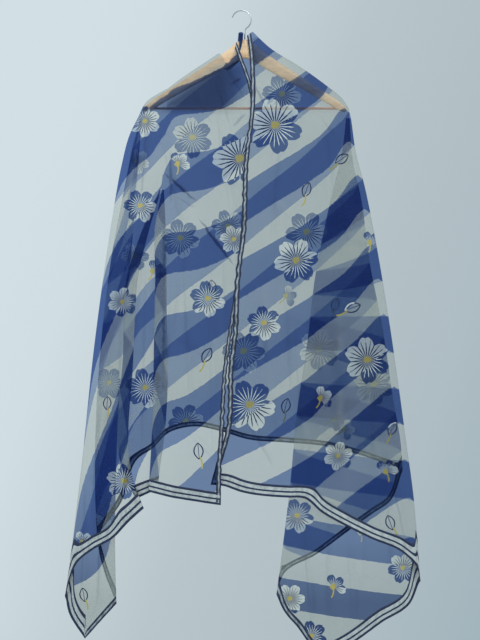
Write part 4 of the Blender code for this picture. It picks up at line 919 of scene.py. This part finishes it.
def organzaMaterial():
    # Silk organza, plain-woven from fine filaments and printed through: the ground is sheer, the dyed threads
    # colour what lies behind them, and thicker threads show as slubs both ways.
    made, tree = newMaterial("printed silk organza")

    # what passes through, what the threads scatter, and how much of the light meets a thread
    looks = dict(
        cream=((0.96, 0.96, 0.95), "#9EA6A1", 0.27),
        blue=((0.40, 0.52, 0.80), "#203052", 0.31),
        bluePetal=((0.28, 0.40, 0.68), "#1E3260", 0.48),
        whitePetal=((0.97, 0.98, 0.97), "#C2CAC6", 0.46),
        navy=((0.16, 0.22, 0.46), "#131D3E", 0.72),
        white=((0.95, 0.98, 0.96), "#D6DDD4", 0.66),
        gold=((0.86, 0.78, 0.40), "#B3A24C", 0.50),
    )
    layers = dict(
        dyed="blue", petalBlue="bluePetal", petalWhite="whitePetal", navyLine="navy", whiteLine="white",
        goldPart="gold",
    )  # painted over cream, each where its part is 1

    # Sizes in the print. Those of a motif are in its radii; the others are in mm or plain shares.
    sizes = dict(
        creep=0.022, wobble=0.16,
        petalCentre=0.58, petalLength=0.39, petalWidth=0.335, notchWidth=0.12, notchDepth=0.6, eye=0.34,
        heart=0.15,
        calyx=0.24, stalkWidth=0.055, stalkCurve=0.12, stalkCentre=0.45, stalkHalf=0.4,
        leafCentre=0.35, leafHalf=0.56, leafSwell=1.8, leafWidth=0.30, leafAside=0.05, leafLine=0.045,
        midrib=0.022,
        combCount=12, streakStart=0.72, raggedness=1.3, streakFade=1.3, whiteStreak=0.5, navyMore=0.16,
        navyStreak=0.78,
        foldBend=7, foldThin=0.8, foldThick=3.2, foldSoft=0.7,
        slubs=0.20, clouds=0.06, ground=0.77, bunchingAndShade=0.22, creaseShadeCover=0.22, threadHeight=0.10, crinkleHeight=3.0,
    )

    # the sheet's own maps, and what the two numbers of each one are
    maps, parts = {}, {}
    pairs = dict(
        weave=(), stripe=("half", "kind"), motif=("mx", "my"), fold=("foldPlace", "foldAside"),
        bunchAndShade=("tightAndShade", "sharp"),
    )
    for mapName, names in pairs.items():
        maps[mapName] = addNode(tree, "UVMap", dict(uv_map=mapName)).outputs[0]
        if names:
            split = addNode(tree, "SeparateXYZ", links={0: maps[mapName]})
            parts[names[0]], parts[names[1]] = split.outputs[0], split.outputs[1]

    # noises: the map each reads, scale, detail and stretch
    noises = dict(
        dye=("weave", 0.12, 1.0, (1, 1, 1)), outline=("motif", 2.2, 1.0, (1, 1, 1)),
        uneven=("motif", 5.0, 1.0, (1, 1, 1)), kink=("weave", 0.05, 1.0, (1, 1, 1)),
        warpSlub=("weave", 0.6, 3.0, (0.06, 1.6, 1)), weftSlub=("weave", 0.6, 3.0, (1.6, 0.06, 1)),
        cloudy=("weave", 0.02, 3.0, (1, 1, 1)), crinkle=("weave", 0.07, 3.0, (1, 0.45, 1)),
    )
    for name, (mapName, scale, detail, stretchBy) in noises.items():
        placed = addNode(tree, "Mapping", {"Scale": stretchBy}, {"Vector": maps[mapName]})
        noise = addNode(tree, "TexNoise", {"Scale": scale, "Detail": detail}, {"Vector": placed.outputs[0]})
        parts[name] = noise.outputs[0]
    # the real weave is 0.1 mm and too fine to show, so it is drawn 2 mm wide
    for name, direction in (("warp", "X"), ("weft", "Y")):
        settings = {"wave_type": "BANDS", "bands_direction": direction, "Scale": 0.16, "Distortion": 0.6}
        parts[name] = addNode(tree, "TexWave", settings, {"Vector": maps["weave"]}).outputs[1]

    # Each step: the part that it makes, the operation, and its terms, by name or number.
    steps = [
        # the dye creeps a little along the threads, so no printed edge is quite straight
        ("creep", "SUBTRACT", "dye", 0.5), ("creep", "MULTIPLY", "creep", sizes["creep"]),
        ("blue", "ADD", "half", "creep"), ("blue", "FRACT", "blue"), ("blue", "LESS_THAN", "blue", 0.5),
        ("wobble", "SUBTRACT", "outline", 0.5), ("wobble", "MULTIPLY", "wobble", sizes["wobble"]),
        ("radius", "MULTIPLY", "mx", "mx"), ("ySquare", "MULTIPLY", "my", "my"),
        ("radius", "ADD", "radius", "ySquare"), ("radius", "SQRT", "radius"),
        ("radius", "ADD", "radius", "wobble"),
        ("angle", "ARCTAN2", "my", "mx"),
        ("isFlower", "LESS_THAN", "kind", 0.5), ("isSprig", "GREATER_THAN", "kind", 1.5),
        ("isBud", "ADD", "isFlower", "isSprig"), ("isBud", "SUBTRACT", 1, "isBud"),

        # six round petals, each an oval on its own axis with a small notch at its tip
        ("turn", "MULTIPLY", "angle", 3 / math.pi), ("turn", "ADD", "turn", 12), ("turn", "FRACT", "turn"),
        ("turn", "SUBTRACT", "turn", 0.5), ("turn", "MULTIPLY", "turn", math.pi / 3),
        ("outward", "COSINE", "turn"), ("outward", "MULTIPLY", "radius", "outward"),
        ("outward", "SUBTRACT", "outward", sizes["petalCentre"]), ("outward", "ABSOLUTE", "outward"),
        ("sideways", "SINE", "turn"), ("sideways", "MULTIPLY", "radius", "sideways"),
        ("sideways", "ABSOLUTE", "sideways"),
        ("tip", "MINIMUM", "sideways", sizes["notchWidth"]), ("tip", "MULTIPLY", "tip", sizes["notchDepth"]),
        ("tip", "ADD", "tip", sizes["petalLength"]),
        ("outward", "DIVIDE", "outward", "tip"), ("outward", "POWER", "outward", 2),
        ("oval", "DIVIDE", "sideways", sizes["petalWidth"]), ("oval", "POWER", "oval", 2),
        ("oval", "ADD", "outward", "oval"), ("petals", "LESS_THAN", "oval", 1),
        ("eye", "LESS_THAN", "radius", sizes["eye"]), ("petals", "MAXIMUM", "petals", "eye"),
        ("flowerPart", "MULTIPLY", "petals", "isFlower"),
        ("heart", "ADD", "radius", "wobble"), ("heart", "LESS_THAN", "heart", sizes["heart"]),
        ("heart", "MULTIPLY", "heart", "isFlower"),

        # a bud is a half-open flower, three petals on a calyx and a stalk
        ("fan", "ADD", "angle", math.pi / 6), ("fan", "ABSOLUTE", "fan"), ("fan", "LESS_THAN", "fan", math.pi / 2),
        ("budPart", "MULTIPLY", "petals", "fan"), ("budPart", "MULTIPLY", "budPart", "isBud"),
        ("calyx", "MULTIPLY", "wobble", 2), ("calyx", "ADD", "radius", "calyx"),
        ("calyx", "LESS_THAN", "calyx", sizes["calyx"]), ("calyx", "MULTIPLY", "calyx", "isBud"),
        ("stalk", "MULTIPLY", "mx", 3), ("stalk", "SINE", "stalk"),
        ("stalk", "MULTIPLY", "stalk", sizes["stalkCurve"]), ("stalk", "SUBTRACT", "my", "stalk"),
        ("stalk", "ABSOLUTE", "stalk"), ("stalk", "LESS_THAN", "stalk", sizes["stalkWidth"]),
        ("stalkRun", "ADD", "mx", sizes["stalkCentre"]), ("stalkRun", "ABSOLUTE", "stalkRun"),
        ("stalkRun", "LESS_THAN", "stalkRun", sizes["stalkHalf"]), ("stalk", "MULTIPLY", "stalk", "stalkRun"),
        ("small", "SUBTRACT", 1, "isFlower"), ("stalk", "MULTIPLY", "stalk", "small"),

        # a sprig is one leaf drawn in outline with its midrib, on a stalk
        ("leafRun", "SUBTRACT", "mx", sizes["leafCentre"]),
        ("lens", "MULTIPLY", "leafRun", sizes["leafSwell"]), ("lens", "ABSOLUTE", "lens"),
        ("lens", "POWER", "lens", 2), ("lens", "SUBTRACT", 1, "lens"),
        ("lens", "MULTIPLY", "lens", sizes["leafWidth"]),
        ("leafSide", "SUBTRACT", "my", sizes["leafAside"]), ("leafSide", "ABSOLUTE", "leafSide"),
        ("leaf", "SUBTRACT", "leafSide", "lens"), ("leaf", "ABSOLUTE", "leaf"),
        ("leaf", "LESS_THAN", "leaf", sizes["leafLine"]), ("midrib", "LESS_THAN", "leafSide", sizes["midrib"]),
        ("leaf", "MAXIMUM", "leaf", "midrib"), ("leafRun", "ABSOLUTE", "leafRun"),
        ("leafRun", "LESS_THAN", "leafRun", sizes["leafHalf"]), ("leaf", "MULTIPLY", "leaf", "leafRun"),
        ("leaf", "MULTIPLY", "leaf", "isSprig"),

        # a petal is blue on a cream stripe and white on a blue one
        ("petal", "MAXIMUM", "flowerPart", "budPart"), ("dyed", "SUBTRACT", "blue", "petal"),
        ("dyed", "ABSOLUTE", "dyed"), ("undyed", "SUBTRACT", 1, "dyed"),
        ("petalBlue", "MULTIPLY", "petal", "dyed"), ("petalWhite", "MULTIPLY", "petal", "undyed"),

        # streaks run out from the heart, of uneven length: white in blue petals, broader and navy in white ones
        ("comb", "MULTIPLY", "wobble", 0.3), ("comb", "ADD", "turn", "comb"),
        ("comb", "MULTIPLY", "comb", sizes["combCount"]), ("comb", "SINE", "comb"), ("comb", "ABSOLUTE", "comb"),
        ("reach", "MULTIPLY", "uneven", 0.5), ("reach", "MULTIPLY", "reach", sizes["raggedness"]),
        ("reach", "ADD", "reach", sizes["streakStart"]), ("fade", "MULTIPLY", "radius", sizes["streakFade"]),
        ("reach", "SUBTRACT", "reach", "fade"),
        ("whiteLine", "MINIMUM", "reach", sizes["whiteStreak"]), ("whiteLine", "LESS_THAN", "comb", "whiteLine"),
        ("whiteLine", "MULTIPLY", "whiteLine", "petalBlue"), ("whiteLeaf", "MULTIPLY", "leaf", "dyed"),
        ("whiteLine", "MAXIMUM", "whiteLine", "whiteLeaf"),
        ("navyLine", "ADD", "reach", sizes["navyMore"]), ("navyLine", "MINIMUM", "navyLine", sizes["navyStreak"]),
        ("navyLine", "LESS_THAN", "comb", "navyLine"), ("navyLine", "MULTIPLY", "navyLine", "petalWhite"),
        ("navyLeaf", "MULTIPLY", "leaf", "undyed"), ("navyLine", "MAXIMUM", "navyLine", "navyLeaf"),
        ("goldPart", "MAXIMUM", "calyx", "stalk"), ("goldPart", "MAXIMUM", "heart", "goldPart"),

        # painted crease shade: thin dark lines along the pressed creases, which swell in the middle and die out at
        # both ends
        ("bent", "SUBTRACT", "kink", 0.5), ("bent", "MULTIPLY", "bent", sizes["foldBend"]),
        ("bent", "ADD", "foldAside", "bent"), ("bent", "ABSOLUTE", "bent"),
        ("ends", "MULTIPLY", "foldPlace", 2), ("ends", "SUBTRACT", "ends", 1), ("ends", "ABSOLUTE", "ends"),
        ("ends", "POWER", "ends", 3), ("ends", "SUBTRACT", 1, "ends", "clamped"),
        ("narrow", "MULTIPLY", "ends", sizes["foldThick"]), ("narrow", "ADD", "narrow", sizes["foldThin"]),
        ("narrow", "DIVIDE", "bent", "narrow"), ("narrow", "SUBTRACT", 1, "narrow", "clamped"),
        ("creaseShade", "POWER", "narrow", sizes["foldSoft"]), ("creaseShade", "MULTIPLY", "creaseShade", "ends"),
        ("creaseShade", "MULTIPLY", "creaseShade", "sharp"),

        # slubs and bunched cloth take more of the light, and painted shade in creases, below the left arm and at
        # the tails' tips adds to the cover
        ("thread", "ADD", "warpSlub", "weftSlub"), ("thread", "MULTIPLY", "thread", sizes["slubs"]),
        ("cloudy", "MULTIPLY", "cloudy", sizes["clouds"]), ("cloudy", "ADD", "cloudy", sizes["ground"]),
        ("thread", "ADD", "thread", "cloudy"),
        ("gathered", "MULTIPLY", "tightAndShade", sizes["bunchingAndShade"]),
        ("creaseShadeCover", "MULTIPLY", "creaseShade", sizes["creaseShadeCover"]), ("gathered", "ADD", "gathered", "creaseShadeCover"),
        ("relief", "ADD", "warp", "weft"), ("relief", "MULTIPLY", "relief", sizes["threadHeight"]),
        ("crinkle", "MULTIPLY", "crinkle", sizes["crinkleHeight"]), ("relief", "ADD", "relief", "crinkle"),
    ]
    for name, operation, *terms in steps:
        clamped = terms[-1] == "clamped"
        settings, links = dict(operation=operation, use_clamp=clamped), {}
        for place, term in enumerate(terms[:-1] if clamped else terms):
            if isinstance(term, str):
                links[place] = parts[term]
            else:
                settings[place] = term
        parts[name] = addNode(tree, "Math", settings, links).outputs[0]

    # painted shade in a pressed crease: darker, and it keeps its blue
    shade = {}
    for place, much in enumerate((0.62, 0.56, 0.40)):
        less = addNode(tree, "Math", {"operation": "MULTIPLY", 1: much}, {0: parts["creaseShade"]})
        shade[place] = addNode(tree, "Math", {"operation": "SUBTRACT", 0: 1.0}, {1: less.outputs[0]}).outputs[0]
    shadow = addNode(tree, "CombineColor", links=shade)

    # the layers of print, each painted over the one before it
    for place, part in enumerate(("through", "scattered", "cover")):
        colours = {}
        for name, look in looks.items():
            colours[name] = [list(look[0]) + [1.0], linear(look[1]), [look[2]] * 3 + [1.0]][place]
        below = None
        for mask, name in layers.items():
            settings = {"data_type": "RGBA", 7: colours[name]}
            if below is None:
                settings[6] = colours["cream"]
            paint = addNode(tree, "Mix", settings, {0: parts[mask]})
            if below is not None:
                tree.links.new(below, paint.inputs[6])
            below = paint.outputs[2]
        if part != "cover":
            settings = {"data_type": "RGBA", "blend_type": "MULTIPLY", 0: 1.0}
            below = addNode(tree, "Mix", settings, {6: below, 7: shadow.outputs[0]}).outputs[2]
        parts[part] = below
    threaded = addNode(tree, "Math", dict(operation="MULTIPLY"), {0: parts["cover"], 1: parts["thread"]})
    links = {0: threaded.outputs[0], 1: parts["gathered"]}
    covered = addNode(tree, "Math", dict(operation="ADD", use_clamp=True), links)

    bump = addNode(tree, "Bump", {"Strength": 0.55, "Distance": 0.0012}, {"Height": parts["relief"]})
    clear = addNode(tree, "BsdfTransparent", links={"Color": parts["through"]})
    solid = addNode(
        tree, "BsdfPrincipled",
        {"Roughness": 0.5, "Specular IOR Level": 0.14, "Sheen Weight": 0.10, "Sheen Roughness": 0.4},
        {"Base Color": parts["scattered"], "Normal": bump.outputs[0]},
    )
    both = addNode(tree, "MixShader", links={0: covered.outputs[0], 1: clear.outputs[0], 2: solid.outputs[0]})
    addNode(tree, "OutputMaterial", links={"Surface": both.outputs[0]})
    return made


def bandMaterial(name, pale, lines, pucker):
    # Satin-woven border: floats of smooth thread give a soft gloss along it, and white and navy lines run
    # along it, by their distance from the outer edge in mm.
    made, tree = newMaterial(name)
    widest = 30.0  # mm that the colour ramp spans
    source = addNode(tree, "UVMap", dict(uv_map="band"))
    parts = addNode(tree, "SeparateXYZ", links={0: source.outputs[0]})
    uneven = addNode(tree, "TexNoise", {"Scale": 0.35, "Detail": 2.0}, {"Vector": source.outputs[0]})
    settings = {"operation": "MULTIPLY_ADD", 1: 0.8}
    moved = addNode(tree, "Math", settings, {0: uneven.outputs[0], 2: parts.outputs[1]})
    scaled = addNode(tree, "Math", {"operation": "DIVIDE", 1: widest}, {0: moved.outputs[0]})
    ramp = addNode(tree, "ValToRGB", links={0: scaled.outputs[0]})
    ramp.color_ramp.interpolation = "CONSTANT"
    navy, white = linear("#1D2C50"), linear(pale)
    for index, (place, isWhite) in enumerate(lines):
        position = (place + 0.4) / widest if index else 0.0
        if index < 2:
            stop = ramp.color_ramp.elements[index]
            stop.position = position
        else:
            stop = ramp.color_ramp.elements.new(position)
        stop.color = white if isWhite else navy
    # threads of 0.1 mm are too fine to show, so they are drawn about 1 mm wide
    settings = {"wave_type": "BANDS", "bands_direction": "X", "Scale": 0.35, "Distortion": 1.0, "Detail": 1.0}
    threads = addNode(tree, "TexWave", settings, {"Vector": source.outputs[0]})
    settings = {"data_type": "RGBA", "blend_type": "MULTIPLY", 0: 0.22}
    shade = addNode(tree, "Mix", settings, {6: ramp.outputs[0], 7: threads.outputs[0]})
    bump = addNode(tree, "Bump", {"Strength": 0.4, "Distance": 0.0004}, {"Height": threads.outputs[1]})
    # the stitches draw the border into small puckers, with painted shade that darkens their hollows
    squeezed = addNode(tree, "Mapping", {"Scale": (1, 0.7, 1)}, {"Vector": source.outputs[0]})
    hollows = addNode(tree, "TexNoise", {"Scale": 0.09, "Detail": 2.0}, {"Vector": squeezed.outputs[0]})
    puckerShade = addNode(tree, "MapRange", {1: 0.44, 2: 0.60, 3: 0.0, 4: pucker}, {0: hollows.outputs[0]})
    settings = {"data_type": "RGBA", "blend_type": "MULTIPLY", 7: linear("#46536E")}
    shadedPuckers = addNode(tree, "Mix", settings, {0: puckerShade.outputs[0], 6: shade.outputs[2]})
    solid = addNode(
        tree, "BsdfPrincipled",
        {"Roughness": 0.42, "Specular IOR Level": 0.35, "Sheen Weight": 0.2},
        {"Base Color": shadedPuckers.outputs[2], "Normal": bump.outputs[0]},
    )
    addNode(tree, "OutputMaterial", links={"Surface": solid.outputs[0]})
    return made


def woodMaterial(name, light, dark, runBy):
    # Beech, planed and lacquered: long grain with fine pores, under a clear coat that gives it a soft gloss.
    made, tree = newMaterial(name)
    source = addNode(tree, "TexCoord")
    placed = addNode(tree, "Mapping", {"Scale": runBy}, {"Vector": source.outputs["Object"]})
    settings = {"Scale": 60.0, "Detail": 5.0, "Distortion": 0.6}  # grain lines about 10 mm apart across the run
    grain = addNode(tree, "TexNoise", settings, {"Vector": placed.outputs[0]})
    pores = addNode(tree, "TexNoise", {"Scale": 420.0, "Detail": 2.0}, {"Vector": placed.outputs[0]})
    settings = {"operation": "MULTIPLY_ADD", 1: 0.35}
    mixed = addNode(tree, "Math", settings, {0: pores.outputs[0], 2: grain.outputs[0]})
    ramp = addNode(tree, "ValToRGB", links={0: mixed.outputs[0]})
    for stop, place, colour in zip(ramp.color_ramp.elements, (0.45, 0.85), (dark, light)):
        stop.position, stop.color = place, linear(colour)
    bump = addNode(tree, "Bump", {"Strength": 0.25, "Distance": 0.0003}, {"Height": mixed.outputs[0]})
    solid = addNode(
        tree, "BsdfPrincipled", {"Roughness": 0.38, "Coat Weight": 0.35, "Coat Roughness": 0.15},
        {"Base Color": ramp.outputs[0], "Normal": bump.outputs[0]},
    )
    addNode(tree, "OutputMaterial", links={"Surface": solid.outputs[0]})
    return made


def steelMaterial():
    # Steel wire, drawn and zinc-plated: bright and a little grey, with drawing marks and a dull bloom.
    made, tree = newMaterial("zinc-plated steel wire")
    source = addNode(tree, "TexCoord")
    marks = addNode(tree, "TexNoise", {"Scale": 900.0, "Detail": 3.0}, {"Vector": source.outputs["Object"]})
    bloom = addNode(tree, "TexNoise", {"Scale": 140.0, "Detail": 3.0}, {"Vector": source.outputs["Object"]})
    ramp = addNode(tree, "ValToRGB", links={0: bloom.outputs[0]})
    for stop, colour in zip(ramp.color_ramp.elements, ("#A3ACAF", "#D3D9DB")):
        stop.color = linear(colour)
    rough = addNode(tree, "MapRange", {3: 0.22, 4: 0.42}, {0: bloom.outputs[0]})
    bump = addNode(tree, "Bump", {"Strength": 0.12, "Distance": 0.0002}, {"Height": marks.outputs[0]})
    solid = addNode(
        tree, "BsdfPrincipled", {"Metallic": 1.0},
        {"Base Color": ramp.outputs[0], "Roughness": rough.outputs[0], "Normal": bump.outputs[0]},
    )
    addNode(tree, "OutputMaterial", links={"Surface": solid.outputs[0]})
    return made


print("frame loaded, nodes", len(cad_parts))
organza = organzaMaterial()
# lines: mm from the outer edge where each begins, and whether it is white
wideLines = [(0, 0), (4.6, 1), (10.2, 0), (13.8, 1), (21.0, 0)]
narrowLines = [(0, 0), (3.6, 1), (7.0, 0)]
# the last number is how dark the painted shade in the puckers' hollows is
wideBand = bandMaterial("satin-woven end border", "#C9D0CF", wideLines, 0.25)
narrowBand = bandMaterial("satin-woven side border", "#A9B3B8", narrowLines, 0.6)

cloths = {name: prepared(name, values) for name, values in stretches.items()}
stole = stolePiece(cloths)
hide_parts(*stretches, "neck_gather")

for name, values in borders.items():
    stretch = cloths[values["of"]]
    u, v, width = bandGrid(stretch, values)
    piece = bandPiece("sewn_" + name, stretch, u, v, width, wideBand if width == borderWidth else narrowBand)
    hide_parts(name)

# the long edge's border shows along the back of the neck, on the outer side
back = cloths["back_panel"]
nape = dict(low=-41, high=29, top=0.215, bottom=0.345, lift=-0.9)  # x, then rows, then off the cloth
places = np.linspace(0, 1, 400)
tops = surface(back, places, turnShare)[0][:, 0]
inNape = places[(tops > nape["low"]) & (tops < nape["high"])]
u, v = np.meshgrid(inNape, np.linspace(nape["top"], nape["bottom"], 8), indexing="ij")
piece = bandPiece("sewn_neck_edging", back, u, v, edgingWidth, narrowBand, lift=nape["lift"])
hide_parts("neck_edging")

# the hanger: the arms' wood is paler than the bar's, and both run with their length
armWood = woodMaterial("lacquered beech, arm", "#E8C7A0", "#D2A97F", (0.25, 1.6, 1.6))
barWood = woodMaterial("lacquered beech, bar", "#C5886C", "#A1664E", (0.12, 1.6, 1.6))
hanger = dict(hanger_arm_left=armWood, hanger_arm_right=armWood, trouser_bar=barWood, hook=steelMaterial())
for name, made in hanger.items():
    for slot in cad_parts[name].material_slots:
        slot.link = "OBJECT"
        slot.material = made
print("hanger finished", len(hanger))

# a plain pale floor, a soft even studio and three large soft lamps
room = dict(floorHeight=-1.62, near=-2.5, far=1.2, side=2.2)
floorMaterial, tree = newMaterial("pale studio floor")
source = addNode(tree, "TexCoord")
depth = room["far"] - room["near"]
settings = {"Location": (0.5, -room["near"] / depth, 0.5), "Scale": (0.5 / room["side"], 1 / depth, 0)}
placed = addNode(tree, "Mapping", settings, {"Vector": source.outputs["Object"]})
tone = addNode(tree, "TexNoise", {"Scale": 3.0, "Detail": 2.0}, {"Vector": placed.outputs[0]})
ramp = addNode(tree, "ValToRGB", links={0: tone.outputs[0]})
for stop, colour in zip(ramp.color_ramp.elements, ("#C2C7C8", "#CDD1D2")):
    stop.color = linear(colour)
solid = addNode(tree, "BsdfPrincipled", {"Roughness": 0.8}, {"Base Color": ramp.outputs[0]})
addNode(tree, "OutputMaterial", links={"Surface": solid.outputs[0]})
floorData = bpy.data.meshes.new("floor")
places = ((-1, "near"), (1, "near"), (1, "far"), (-1, "far"))
floorCorners = [(side * room["side"], room[end], room["floorHeight"]) for side, end in places]
floorData.from_pydata(floorCorners, [], [(0, 1, 2, 3)])
floorData.materials.append(floorMaterial)
floor = bpy.data.objects.new("floor", floorData)
bpy.context.scene.collection.objects.link(floor)

world = bpy.data.worlds.new("studio")
bpy.context.scene.world = world
world.use_nodes = True
tree = world.node_tree
tree.nodes.clear()
source = addNode(tree, "TexCoord")
parts = addNode(tree, "SeparateXYZ", links={0: source.outputs["Generated"]})
lowered = addNode(tree, "Math", {"operation": "MULTIPLY", 1: 0.35}, {0: parts.outputs[2]})
slope = addNode(tree, "Math", dict(operation="SUBTRACT"), {0: parts.outputs[0], 1: lowered.outputs[0]})
share = addNode(tree, "MapRange", {1: -0.17, 2: 0.23}, {0: slope.outputs[0]})
ramp = addNode(tree, "ValToRGB", links={0: share.outputs[0]})
for stop, colour in zip(ramp.color_ramp.elements, ("#D2DFE4", "#A2B4BC")):
    stop.color = linear(colour)
for place, colour in ((0.12, "#D0DDE2"), (0.45, "#B8C5CA"), (0.8, "#AEBCC3")):
    stop = ramp.color_ramp.elements.new(place)
    stop.color = linear(colour)
background = addNode(tree, "Background", {"Strength": 1.0}, {"Color": ramp.outputs[0]})
addNode(tree, "OutputWorld", links={"Surface": background.outputs[0]})

lights = {
    "key": dict(place=(0.7, -2.0, 1.3), size=1.4, power=34, colour="#FFFFFF"),
    "fill": dict(place=(-1.8, -2.6, 0.2), size=2.2, power=14, colour="#EAF2F6"),
    "back": dict(place=(0.4, 2.2, 0.8), size=2.0, power=20, colour="#F2F6F8"),
}
for name, values in lights.items():
    data = bpy.data.lights.new(name, "AREA")
    data.size = values["size"]
    data.energy = values["power"]
    data.color = linear(values["colour"])[:3]
    lamp = bpy.data.objects.new(name, data)
    lamp.location = values["place"]
    aim = np.array([0, 0, -0.65]) - np.array(values["place"])
    lamp.rotation_euler = (math.acos(-aim[2] / np.linalg.norm(aim)), 0, math.atan2(aim[1], aim[0]) - math.pi / 2)
    bpy.context.scene.collection.objects.link(lamp)
print("room and lights", len(lights))

bpy.context.scene.view_settings.view_transform = "Standard"
bpy.context.scene.cycles.transparent_max_bounces = 20
